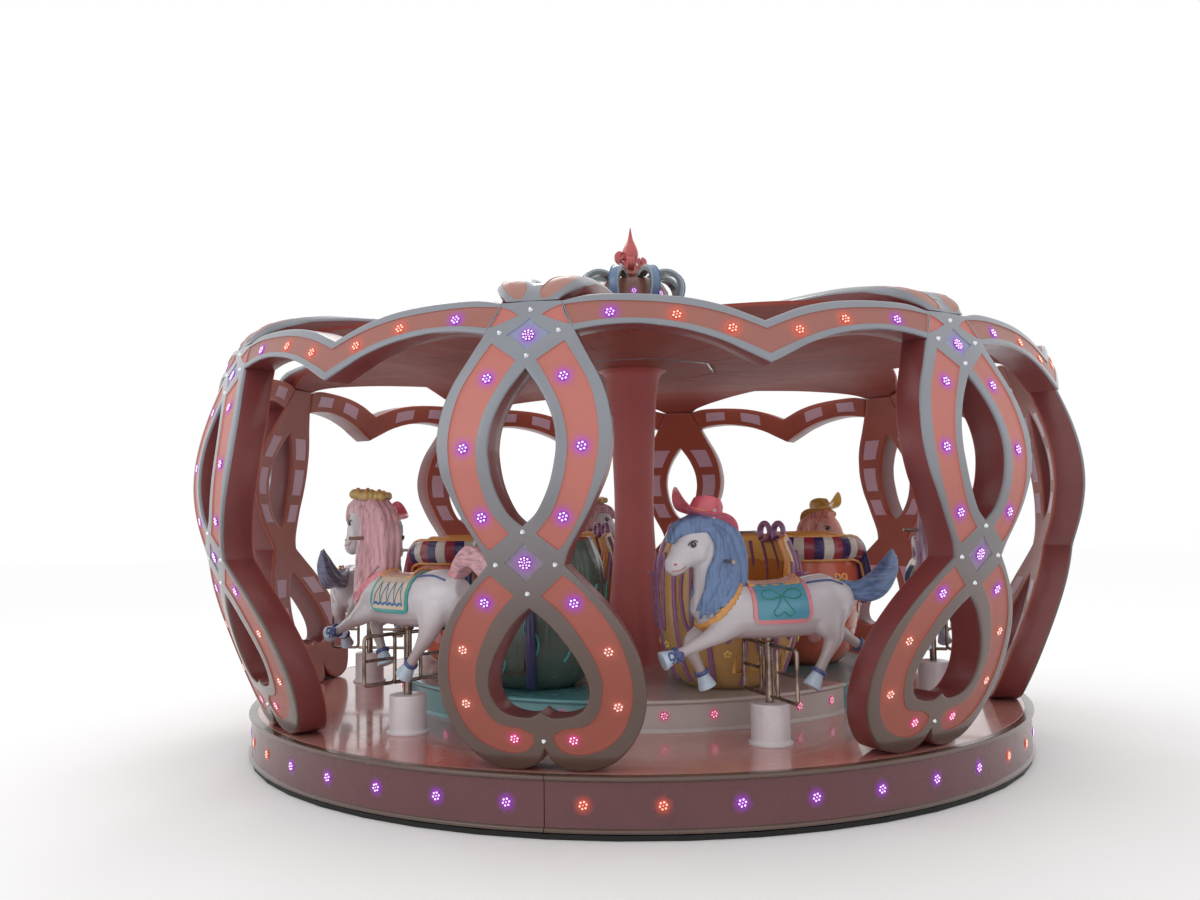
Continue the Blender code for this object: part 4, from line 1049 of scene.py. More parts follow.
def limb(body, rings, sides=18):
    """Elliptical rings square to the limb's own line, with rounded ends."""
    rings = [np.array(r) for r in smooth(rings, 4)]
    ends = []
    for ring, inner in ((rings[0], rings[1]), (rings[-1], rings[-2])):
        end = ring + (ring - inner) / (np.linalg.norm((ring - inner)[:3]) + 1e-9) * ring[3] * 0.45
        end[3:] = ring[3:] * 0.62
        ends.append(end)
    rings = [ends[0]] + rings + [ends[1]]
    centres = [rider(*r[:3]) for r in rings]
    stack = []
    for i, ring in enumerate(rings):
        along = (centres[min(i + 1, len(rings) - 1)] - centres[max(i - 1, 0)]).normalized()
        across = Vector((0.0, 1.0, 0.0))
        normal = along.cross(across).normalized()
        stack.append([centres[i] + across * (ring[4] * math.cos(a)) + normal * (ring[3] * math.sin(a))
                      for a in all_round(sides)])
    body.rings(stack, 0, caps=True)


def opposite(rings):
    return [(f, z, -s, d, w) for f, z, s, d, w in rings]


def raised(rings, height):
    """Rings of the neck and head, lifted more the higher they are."""
    return [(f, z + height * min(max((z - 1.12) / 0.30, 0.0), 1.0), s, d, w) for f, z, s, d, w in rings]


def fused(name, body, voxel, passes, triangles):
    """Overlapping closed shapes made into one skin, smoothed, then thinned to a number of triangles."""
    obj = bpy.data.objects.new(name, body.mesh(name))
    scene.collection.objects.link(obj)
    remesh = obj.modifiers.new("fuse", "REMESH")
    remesh.mode = "VOXEL"
    remesh.voxel_size = voxel
    soften = obj.modifiers.new("soften", "SMOOTH")
    soften.factor = 0.5
    soften.iterations = passes
    evaluated = obj.evaluated_get(bpy.context.evaluated_depsgraph_get())
    count = 2.0 * len(evaluated.data.polygons)
    thin = obj.modifiers.new("thin", "DECIMATE")
    thin.ratio = min(1.0, triangles / max(count, 1.0))
    evaluated = obj.evaluated_get(bpy.context.evaluated_depsgraph_get())
    mesh = bpy.data.meshes.new_from_object(evaluated)
    bpy.data.objects.remove(obj)
    return mesh


def add_mesh(body, mesh, slot):
    body.sheet([tuple(v.co) for v in mesh.vertices], [tuple(p.vertices) for p in mesh.polygons], slot)


def skin_tree(mesh):
    return BVHTree.FromPolygons([v.co.copy() for v in mesh.vertices],
                                [tuple(p.vertices) for p in mesh.polygons])


def on_side(tree, forward, height, side, lift=0.0, fallback=0.04):
    """The skin's point beside (forward, height), seen from one side."""
    origin = rider(forward, height, side * 0.6)
    hit, normal, _, _ = tree.ray_cast(origin, Vector((0.0, float(side), 0.0)))
    if hit is None:
        return rider(forward, height, side * (fallback + lift))
    return hit + normal * lift


def tube(body, path, radii, slot=0, sides=10, flat=1.0, out=None):
    """A tube along 3-D points; out gives the direction that it is flattened in."""
    path = [Vector(p) for p in path]
    stack = []
    side = None
    for i, p in enumerate(path):
        along = (path[min(i + 1, len(path) - 1)] - path[max(i - 1, 0)]).normalized()
        free = Vector((0.0, 0.0, 1.0) if abs(along.z) < 0.9 else (1.0, 0.0, 0.0))
        guide = out(p) if out else (side or free)
        side = (guide - along * guide.dot(along)).normalized()
        other = along.cross(side)
        r = radii[i] if hasattr(radii, "__len__") else radii
        stack.append([p + other * (r * math.cos(a)) + side * (r * flat * math.sin(a))
                      for a in all_round(sides)])
    body.rings(stack, slot, caps=True)


def spread(path, steps=5):
    return [Vector(p) for p in smooth([tuple(p) for p in path], steps)]


def lock(body, path, radius, tip=0.25, slot=0, out=None, flat=0.7):
    """One lock of hair, full in the middle and thin at its end."""
    line = spread(path)
    u = np.linspace(0.0, 1.0, len(line))
    radii = radius * np.interp(u, [0.0, 0.12, 0.55, 0.85, 1.0], [0.75, 1.0, 1.0, 0.7, tip])
    tube(body, line, radii, slot, 8, flat, out)


def horse_skin(height, legs):
    """The body with its head raised by the given height."""
    body = Body()
    for rings in [TORSO, raised(NECK, height), raised(HEAD, height)] + [rings for rings, _ in legs]:
        limb(body, rings)
    for rings in (CHEEK, opposite(CHEEK)):
        limb(body, raised(rings, height), 12)
    for side in (-1.0, 1.0):
        ear = [(0.352, 1.575, 0.050 * side, 0.020, 0.026), (0.350, 1.610, 0.062 * side, 0.022, 0.026),
               (0.342, 1.650, 0.070 * side, 0.010, 0.012)]
        limb(body, raised(ear, height), 10)
    return fused("horse_skin", body, 0.009, 5, 9000)


def trunk_tree(height):
    """Only the trunk and neck, for straps that pass under the raised leg."""
    body = Body()
    limb(body, TORSO)
    limb(body, raised(NECK, height))
    return skin_tree(fused("trunk", body, 0.012, 3, 4000))


MANE_LINES = [
    [(0.250, 1.545), (0.196, 1.460), (0.186, 1.360), (0.204, 1.270), (0.268, 1.190), (0.335, 1.120)],
    [(0.290, 1.560), (0.236, 1.470), (0.228, 1.370), (0.252, 1.275), (0.312, 1.185), (0.372, 1.095)],
    [(0.325, 1.570), (0.274, 1.480), (0.268, 1.380), (0.292, 1.280), (0.346, 1.175), (0.402, 1.065)],
    [(0.355, 1.565), (0.310, 1.490), (0.306, 1.400), (0.332, 1.290), (0.380, 1.180), (0.426, 1.062)],
    [(0.385, 1.545), (0.344, 1.480), (0.342, 1.400), (0.368, 1.300), (0.408, 1.200), (0.440, 1.105)],
    [(0.330, 1.560), (0.420, 1.585), (0.500, 1.570), (0.560, 1.525), (0.582, 1.470)],
    [(0.320, 1.540), (0.400, 1.560), (0.480, 1.548), (0.540, 1.510), (0.566, 1.462)],
    [(0.310, 1.510), (0.385, 1.535), (0.460, 1.525), (0.525, 1.492)]]


def halfway(line, other):
    return [((a + c) / 2, (b + d) / 2) for (a, b), (c, d) in zip(line, other)]


def mane(tree, height, fringe):
    """Wavy locks laid side by side down the neck and over the brow, fused on a full crest."""
    body = Body()
    neck_locks = [MANE_LINES[0]]
    for line, other in zip(MANE_LINES[:4], MANE_LINES[1:5]):
        neck_locks += [halfway(line, other), other]
    first, second, third = MANE_LINES[5:]
    brow_locks = [first, halfway(first, second), second, third] if fringe else []
    for side in (1.0, -1.0):
        for n, line in enumerate(neck_locks + brow_locks):
            brow = n >= len(neck_locks)
            wavy = [(f + 0.011 * math.sin(2.4 * i + 1.7 * n), z, 0.0, 0.0, 0.0)
                    for i, (f, z) in enumerate(line)]
            moved = raised(wavy, height)
            points = [on_side(tree, f, z, side, 0.012 + 0.006 * (n % 2), 0.035) for f, z, _, _, _ in moved]
            if brow:
                for i, point in enumerate(points):
                    point.y *= 1.0 - 0.12 * i
            lock(body, points, 0.021, 0.3, out=lambda p: Vector((0.0, -side, 0.0)), flat=0.85)
    crest = raised([(0.480, 1.565, 0.0, 0, 0), (0.400, 1.590, 0.0, 0, 0), (0.300, 1.575, 0.0, 0, 0),
                    (0.215, 1.490, 0.0, 0, 0), (0.176, 1.380, 0.0, 0, 0), (0.172, 1.270, 0.0, 0, 0),
                    (0.180, 1.215, 0.0, 0, 0)], height)
    for shift in (-0.045, 0.0, 0.045):
        lock(body, [rider(f, z, shift) for f, z, _, _, _ in crest], 0.0425, 0.5,
             out=lambda p: Vector((0.0, 1.0, 0.0)), flat=0.9)
    return fused("mane", body, 0.0062, 1, 11000)


TAILS = [
    [((-0.440, 1.225), (-0.500, 1.185), (-0.600, 1.180), (-0.700, 1.215), (-0.775, 1.290), (-0.815, 1.405)),
     ((-0.440, 1.240), (-0.500, 1.215), (-0.600, 1.215), (-0.690, 1.250), (-0.755, 1.310), (-0.800, 1.400)),
     ((-0.440, 1.205), (-0.510, 1.155), (-0.610, 1.140), (-0.720, 1.180), (-0.800, 1.265), (-0.828, 1.370)),
     ((-0.450, 1.220), (-0.520, 1.180), (-0.620, 1.175), (-0.715, 1.215), (-0.790, 1.300), (-0.812, 1.385))],
    [((-0.420, 1.240), (-0.500, 1.320), (-0.600, 1.360), (-0.700, 1.310), (-0.770, 1.190), (-0.790, 1.070)),
     ((-0.420, 1.255), (-0.495, 1.345), (-0.605, 1.388), (-0.722, 1.330), (-0.796, 1.210), (-0.806, 1.100)),
     ((-0.425, 1.220), (-0.510, 1.290), (-0.598, 1.326), (-0.676, 1.282), (-0.740, 1.180), (-0.766, 1.085)),
     ((-0.420, 1.235), (-0.505, 1.310), (-0.600, 1.350), (-0.700, 1.300), (-0.765, 1.195), (-0.784, 1.090))]]


def tail(lines):
    body = Body()
    for n, line in enumerate(lines):
        for side in (-0.038, -0.014, 0.014, 0.038):
            swell = [side * k for k in (0.4, 0.9, 1.2, 1.1, 0.8, 0.3)]
            wave = [0.009 * math.sin(1.9 * i + 2.3 * n + 40.0 * side) for i in range(len(line))]
            lock(body, [rider(f, z + w, s) for (f, z), s, w in zip(line, swell, wave)], 0.024, 0.2,
                 out=lambda p: Vector((0.0, 1.0, 0.0)), flat=0.9)
    return fused("tail", body, 0.0062, 1, 5000)


def hoof(body, rings, sole, slot_hoof, slot_band):
    """A flared hoof below the last ring of a leg, with a band above it."""
    f, z, s = rings[-1][:3]
    start = np.array((f, z))
    along = np.array(sole) - start
    length = float(np.linalg.norm(along))
    along = along / length
    normal = np.array((-along[1], along[0]))
    stack = []
    for share, depth, width in ((-0.15, 0.030, 0.029), (0.15, 0.036, 0.035), (0.45, 0.042, 0.040),
                                (0.80, 0.050, 0.046), (0.97, 0.053, 0.049), (1.00, 0.050, 0.046)):
        c = start + along * length * share * 1.25
        ring = []
        for a in all_round(18):
            p = c + normal * depth * math.sin(a)
            ring.append(rider(p[0], p[1], s + width * math.cos(a)))
        stack.append(ring)
    body.rings(stack, slot_hoof, caps=True)
    c = start - along * 0.012
    loop = []
    for a in all_round(20):
        p = c + normal * 0.0375 * math.sin(a)
        loop.append(rider(p[0], p[1], s + 0.0355 * math.cos(a)))
    axis = rider(along[0], along[1], 0.0)
    middle = rider(c[0], c[1], s)
    section = ((-0.006, -0.010), (0.003, -0.011), (0.006, -0.006), (0.006, 0.006), (0.003, 0.011),
               (-0.006, 0.010))
    band = []
    for p in loop:
        out = (p - middle).normalized()
        band.append([p + out * x + axis * y for x, y in section])
    body.rings(band + [band[0]], slot_band)


def wrap(tree, centre, direction, lift):
    """The skin's point seen from outside towards the centre, lifted off the skin."""
    hit, normal, _, _ = tree.ray_cast(centre + direction * 0.6, -direction)
    return (centre + direction * 0.1) if hit is None else hit + direction * lift


def blanket(body, tree, slot_field, slot_border, front=0.165, rear=-0.195, low=118.0, corner=0.20):
    """A moulded cloth over the back, from flank to flank, with a raised border and rounded lower corners."""
    def point(u, v, lift):
        share = abs(v)
        rounded = max(0.0, share - (1.0 - corner)) / corner
        squeeze = 1.0 - 0.26 * (1.0 - math.sqrt(1.0 - min(rounded, 1.0) ** 2))
        f = (front + rear) / 2 + (front - rear) / 2 * u * squeeze * (0.94 + 0.06 * share)
        angle = math.radians(low * v)
        drop = Vector((0.0, -math.sin(angle), math.cos(angle)))
        return wrap(tree, rider(f, 1.10, 0.0), drop, lift)
    across = np.linspace(-1.0, 1.0, 15)
    down = np.linspace(-1.0, 1.0, 61)
    for lift, u_limit, v_limit, slot in ((0.0085, 1.0, 1.0, slot_border), (0.0120, 0.86, 0.92, slot_field)):
        rows = [[point(u * u_limit, v * v_limit, lift) for u in across] for v in down]
        body.rings(rows, slot, closed=False)
        rim = [(u, -1.0) for u in across] + [(1.0, v) for v in down[1:]]
        rim += [(u, 1.0) for u in across[::-1][1:]] + [(-1.0, v) for v in down[::-1][1:-1]]
        rings = [[point(u * u_limit, v * v_limit, h) for u, v in rim] for h in (lift, lift - 0.004, -0.004)]
        body.rings(rings, slot)
    return point


LINE_LIFT = 0.0125


def seam_line(body, point, marks, radius, slot):
    """A raised line on the cloth through (u, v) marks."""
    tube(body, [point(u, v, LINE_LIFT) for u, v in smooth(marks, 5)], radius, slot, 8)


def collar(body, tree, slot, top=(0.165, 1.275), low=(0.400, 1.020), width=0.021):
    """A braided strap from the withers round the chest."""
    a, b = rider(*top, 0.0), rider(*low, 0.0)
    middle = (a + b) / 2
    main = (a - b).normalized()
    cross = Vector((0.0, 1.0, 0.0))
    normal = main.cross(cross).normalized()
    section = ((-0.006, -width), (0.008, -width * 0.95), (0.014, -width * 0.5), (0.012, 0.0),
               (0.014, width * 0.5), (0.008, width * 0.95), (-0.006, width))
    stack = []
    for k in range(72):
        angle = 2.0 * math.pi * k / 72
        direction = main * math.cos(angle) + cross * math.sin(angle)
        skin = wrap(tree, middle, direction, 0.0)
        swell = 1.0 + 0.16 * math.sin(24.0 * angle)
        stack.append([skin + direction * x * swell + normal * y * swell for x, y in section])
    body.rings(stack + [stack[0]], slot)


def saddle(body, tree, slot):
    """A low seat with a scalloped gold edge and a raised back."""
    rows = []
    for u in np.linspace(0.0, 1.0, 15):
        f = 0.150 - 0.300 * u
        rise = 0.016 + 0.012 * max(0.0, 1.0 - u / 0.22) ** 1.5 + 0.014 * max(0.0, (u - 0.72) / 0.28) ** 1.5
        row = []
        for k in range(17):
            v = -1.0 + k / 8.0
            angle = math.radians(30.0 * v)
            drop = Vector((0.0, -math.sin(angle), math.cos(angle)))
            row.append(wrap(tree, rider(f, 1.10, 0.0), drop, rise * (1.0 - 0.55 * abs(v) ** 3)))
        rows.append(row)
    for row in (rows[0], rows[-1]):
        body.rings([row, [p - Vector((0.0, 0.0, 0.06)) for p in row]], slot, closed=False)
    body.rings(rows, slot, closed=False)
    rim = [row[-1] for row in rows] + rows[-1][::-1][1:] + [row[0] for row in rows[::-1]][1:] + rows[0][1:-1]
    scallop = [0.0060 * (1.0 + 0.35 * math.sin(1.9 * i)) for i in range(len(rim) + 1)]
    tube(body, rim + [rim[0]], scallop, slot + 1, 8)


def ball(body, centre, radii, slot, sides=14, turn=None):
    """An ellipsoid, for eyes, knobs and petals."""
    rings = []
    for i in range(1, 8):
        t = math.pi * i / 8
        rings.append([Vector((radii[0] * math.sin(t) * math.cos(a), radii[1] * math.sin(t) * math.sin(a),
                              radii[2] * math.cos(t)))
                      for a in all_round(sides)])
    matrix = Matrix.Translation(centre) @ (turn or Matrix.Identity(4))
    body.rings([[matrix @ p for p in ring] for ring in rings], slot, caps=True)


def facing(normal, rise=Vector((0.0, 0.0, 1.0))):
    """Axes with Z along a surface normal, for things laid on a skin."""
    normal = normal.normalized()
    across = rise.cross(normal).normalized()
    return Matrix((across, normal.cross(across), normal)).transposed().to_4x4()


def face(body, tree, height, white, dark, rose):
    """Eyes with lids and a highlight, nostrils and a mouth line on both sides of the head."""
    for side in (1.0, -1.0):
        inwards = Vector((0.0, side, 0.0))
        hit, normal, _, _ = tree.ray_cast(rider(0.474, 1.456 + height, side * 0.6), inwards)
        if hit is None:
            continue
        turn = facing(normal)
        lean = turn @ Matrix.Rotation(math.radians(22.0 * side), 4, "Z")
        ball(body, hit - normal * 0.003, (0.026, 0.018, 0.008), white, turn=lean)
        ball(body, hit + normal * 0.001, (0.018, 0.0155, 0.009), dark, turn=lean)
        glint = hit + normal * 0.0075 + Vector((0.0, 0.0, 0.006))
        ball(body, glint, (0.0042, 0.0042, 0.003), white, 10, turn)
        brow = []
        for a in np.linspace(math.radians(15.0), math.radians(165.0), 9):
            brow.append(hit + lean @ Vector((0.028 * math.cos(a), 0.021 * math.sin(a), 0.004)))
        tube(body, brow, 0.0032, dark, 6)
        hit, normal, _, _ = tree.ray_cast(rider(0.566, 1.352 + height, side * 0.6), inwards)
        if hit is not None:
            ball(body, hit, (0.010, 0.007, 0.006), rose, 10, facing(normal))
        mouth = [on_side(tree, f, z + height, side, 0.001, 0.03)
                 for f, z in ((0.580, 1.318), (0.555, 1.318), (0.528, 1.326), (0.504, 1.342))]
        tube(body, spread(mouth, 3), 0.0030, rose, 6)


def bow(body, centre, size, slot, turn=None):
    """Two loops and a knot."""
    turn = turn or Matrix.Identity(4)
    for side in (-1.0, 1.0):
        loop = [turn @ Vector((side * size * x, size * y, size * z)) + centre
                for x, y, z in ((0.05, 0.0, 0.0), (0.50, 0.16, 0.50), (1.05, 0.10, 0.42), (1.10, 0.0, -0.10),
                                (0.95, -0.10, -0.45), (0.45, -0.14, -0.35), (0.05, 0.0, 0.0))]
        tube(body, spread(loop, 4), size * 0.17, slot, 8)
        ribbon = [turn @ Vector((side * size * x, size * y, size * z)) + centre for x, y, z in
                  ((0.05, 0.0, 0.0), (0.30, 0.08, -0.60), (0.55, 0.02, -1.10))]
        tube(body, spread(ribbon, 4), size * 0.13, slot, 8)
    ball(body, centre, (size * 0.24, size * 0.20, size * 0.22), slot, 10, turn)


def wide_hat(body, centre, slot, trim, length=0.212, width=0.150, tilt=19.0, crown=0.105, tip=0.085):
    """A soft wide hat: an oval brim that curls up in front and trails behind, a dented crown and a band."""
    turn = Matrix.Rotation(math.radians(tilt), 4, "Y")

    def brim(a, share, lift):
        f = length * share * math.cos(a)
        s = width * share * math.sin(a)
        front = max(0.0, math.cos(a))
        rise = share ** 2 * (0.030 * math.sin(a) ** 2 + 0.020 * math.cos(3.0 * a))
        rise += tip * front ** 4 * share ** 4
        rise -= 0.018 * share ** 2 * max(0.0, -math.cos(a)) ** 2
        return centre + turn @ Vector((-f, -s, rise + lift))
    angles = all_round(48)
    stack = [[brim(a, share, 0.0) for a in angles] for share in (0.30, 0.50, 0.70, 0.88, 0.97)]
    stack += [[brim(a, 1.0, -0.004) for a in angles]]
    stack += [[brim(a, share, -0.009) for a in angles] for share in (0.97, 0.88, 0.70, 0.50, 0.30)]
    body.rings(stack, slot, caps=True)
    dome = []
    for r, z in ((0.56, -0.004), (0.53, 0.16), (0.50, 0.50), (0.48, 0.82), (0.42, 0.97), (0.28, 1.00),
                 (0.10, 0.93)):
        ring = []
        for a in angles:
            dent = 1.0 - 0.10 * math.cos(2.0 * a) * z
            f = length * 0.92 * r * math.cos(a) * dent
            s = width * 0.95 * r * math.sin(a) * dent
            ring.append(centre + turn @ Vector((-f, -s, crown * z * (1.0 - 0.10 * math.cos(2.0 * a)))))
        dome.append(ring)
    body.rings(dome, slot, caps=True)
    rise = turn @ Vector((0.0, 0.0, 1.0))
    section = ((0.0, -0.010), (0.006, -0.009), (0.006, 0.009), (0.0, 0.010))
    band = []
    for a in np.append(angles, 0.0):
        f, s = length * 0.515 * math.cos(a), width * 0.535 * math.sin(a)
        spot = centre + turn @ Vector((-f, -s, crown * 0.14))
        out = turn @ Vector((-math.cos(a), -math.sin(a), 0.0))
        band.append([spot + out * x + rise * y for x, y in section])
    body.rings(band, trim)


def wreath(body, centre, slots, radius=0.084, tilt=9.5):
    """A ring of plump petals and buds."""
    turn = Matrix.Rotation(math.radians(tilt), 4, "Y")
    for k in range(7):
        a = 2.0 * math.pi * k / 7
        middle = centre + turn @ Vector((radius * math.cos(a), radius * math.sin(a), 0.0))
        for n in range(5):
            b = 2.0 * math.pi * n / 5 + a
            petal = Vector((0.024 * math.cos(b), 0.024 * math.sin(b), 0.010))
            ball(body, middle + petal, (0.028, 0.028, 0.028), slots[k % 2], 10)
        ball(body, middle + Vector((0.0, 0.0, 0.036)), (0.013, 0.013, 0.010), slots[2], 8)


def set_on_circle(mesh, azimuth, radius, height):
    """Turn a mesh to an azimuth and stand it on a circle about the turning axis."""
    heading = Matrix.Rotation(math.radians(azimuth), 4, "Z")
    mesh.transform(Matrix.Translation(around(azimuth, radius, height)) @ heading)


def rod(body, a, b, radius, slot):
    tube(body, [Vector(a) * (1 - t) + Vector(b) * t for t in (0.0, 0.5, 1.0)], radius, slot, 14)


def footrest(body, side, slot):
    """A bent-tube loop that stands out beside the pole, with a middle bar, and its two arms to the pole."""
    near, far, top, low, corner = 0.095, 0.310, 0.900, 0.620, 0.026
    loop = []
    for s, z, turn in ((far, top, 0.0), (far, low, -90.0), (near, low, 180.0), (near, top, 90.0)):
        cs = s - corner if s == far else s + corner
        cz = z - corner if z == top else z + corner
        for a in np.radians(np.linspace(turn + 90.0, turn, 5)):
            loop.append(rider(0.0, cz + corner * math.sin(a), side * (cs + corner * math.cos(a))))
    tube(body, loop + [loop[0]], 0.0110, slot, 12, out=lambda p: Vector((1.0, 0.0, 0.0)))
    rod(body, rider(0.0, 0.760, side * near), rider(0.0, 0.760, side * far), 0.0095, slot)
    rod(body, rider(0.0, top, side * near), rider(0.0, top, 0.0), 0.0110, slot)
    rod(body, rider(0.0, low, side * near), rider(0.0, low, 0.0), 0.0110, slot)


def horse_pole(body, slot):
    """A steel tube up into the belly, with a collar where it enters."""
    stack = []
    for r, z in ((0.0225, 0.162), (0.0238, 0.166), (0.0238, 0.640), (0.0238, 0.960), (0.0300, 0.965),
                 (0.0360, 0.945), (0.0360, 0.925), (0.0300, 0.915)):
        stack.append([rider(r * math.cos(a), z, r * math.sin(a)) for a in all_round(24)])
    body.rings(stack[:4], slot, caps=True)
    body.rings(stack[:3:-1], slot)


# Horse paints: glossy gel coats, each with soft shading where hands and dust have dulled it
def horse_paint(name, red, green, blue, dirt=0.86):
    return moulded(name, linear(red, green, blue), 0.26, dirt, 0.35)


def hair_paint(name, red, green, blue, stretch=(1.0, 1.0, 0.12)):
    """Gel coat over combed grooves, with painted light and shade: paler on the locks, darker between them."""
    color = linear(red, green, blue)
    paint = Paint(name, color, 0.30, coat_weight=0.25, coat_roughness=0.15)
    flow = paint.add("ShaderNodeVectorMath", {"operation": "MULTIPLY"}, [paint.place(), stretch])
    strands_and_groove_shade = paint.add("ShaderNodeTexNoise", {}, {"Vector": flow, "Scale": 60.0, "Detail": 2.0})
    # Painted shade in the grooves and painted light on the locks, from the same noise that makes the bump.
    paint.feed("Base Color", paint.mix(shade(color, 0.70), shade(color, 1.08), strands_and_groove_shade.between(0.30, 0.62)))
    paint.feed("Roughness", strands_and_groove_shade * 0.2 + 0.2)
    paint.bump(strands_and_groove_shade, 0.004, 0.6)
    return paint.material


metal = Paint("bronze_tube", linear(150, 122, 104), 0.22, metallic=0.9)
metal.feed("Base Color",
           metal.mix(linear(104, 82, 72), linear(178, 160, 148), metal.noise(9.0, 4.0).between(0.3, 0.7)))
metal.feed("Roughness", metal.noise(30.0) * 0.2 + 0.12)
bronze = metal.material
# Horse white is painted darker and warmer low down, under the belly and on the legs: painted shade.
horse_white = moulded("horse_white", linear(204, 200, 206), 0.24, 0.92, 0.35, linear(172, 156, 154), 0.6, 1.2)
horse_rose = horse_paint("horse_rose", 228, 168, 154)
hair_blue = hair_paint("hair_blue", 100, 126, 168)
hair_pink = hair_paint("hair_pink", 204, 156, 164)
hair_slate = hair_paint("hair_slate", 112, 116, 146)
hair_lilac = hair_paint("hair_lilac", 186, 160, 190)
hair_salmon = hair_paint("hair_salmon", 224, 150, 136)
tail_blue = hair_paint("tail_blue", 100, 126, 168, (0.2, 0.2, 1.0))
tail_pink = hair_paint("tail_pink", 204, 156, 164, (0.3, 0.3, 1.0))
tail_slate = hair_paint("tail_slate", 112, 116, 146, (0.2, 0.2, 1.0))
tail_lilac = hair_paint("tail_lilac", 186, 160, 190, (0.3, 0.3, 1.0))
eye_dark = horse_paint("eye_brown", 52, 34, 34, 0.7)
mouth_rose = horse_paint("mouth_rose", 196, 104, 104)
hoof_blue = horse_paint("hoof_blue", 186, 204, 222)
band_blue = horse_paint("band_blue", 70, 84, 138)
gold_trim = horse_paint("gold_trim", 222, 158, 84)
teal_cloth = horse_paint("teal_cloth", 84, 150, 172)
green_line = horse_paint("green_line", 40, 132, 122)
pink_border = horse_paint("pink_border", 222, 140, 148)
cream_cloth = horse_paint("cream_cloth", 206, 192, 172)
teal_border = horse_paint("teal_border", 74, 160, 156)
blue_line = horse_paint("blue_line", 62, 116, 168)
hat_pink = horse_paint("hat_pink", 214, 100, 116)
hat_olive = horse_paint("hat_olive", 196, 156, 72)
wreath_gold = horse_paint("wreath_gold", 194, 162, 98)
saddle_tan = horse_paint("saddle_tan", 196, 150, 132)
orange_tint = horse_paint("orange_tint", 222, 136, 96)

# Legs, cloth, border, lines, hat kind and lift take turns; skin, hair, tail, collar, hat colour and head
# raise are each horse's own
HORSES = [(horse_white, hair_blue, tail_blue, gold_trim, hat_pink, 0.00),
          (horse_white, hair_lilac, tail_lilac, gold_trim, wreath_gold, 0.09),
          (horse_rose, hair_salmon, tail_blue, orange_tint, hat_olive, 0.04),
          (horse_white, hair_pink, tail_pink, gold_trim, wreath_gold, 0.09),
          (horse_white, hair_slate, tail_slate, gold_trim, hat_pink, 0.00),
          (horse_white, hair_pink, tail_pink, pink_border, wreath_gold, 0.09)]
TURNS = [(teal_cloth, pink_border, green_line, -0.055), (cream_cloth, teal_border, blue_line, -0.010)]
CLOTH_PETALS = [[(0.0, 0.52), (0.30, 0.40), (0.60, 0.42), (0.66, 0.52), (0.40, 0.58), (0.0, 0.52)],
                [(0.0, 0.52), (-0.30, 0.40), (-0.60, 0.42), (-0.66, 0.52), (-0.40, 0.58), (0.0, 0.52)],
                [(0.0, 0.52), (0.18, 0.68), (0.34, 0.80), (0.20, 0.86), (0.0, 0.80), (-0.20, 0.86),
                 (-0.34, 0.80), (-0.18, 0.68), (0.0, 0.52)]]
skins = {}
tails = [tail(lines) for lines in TAILS]
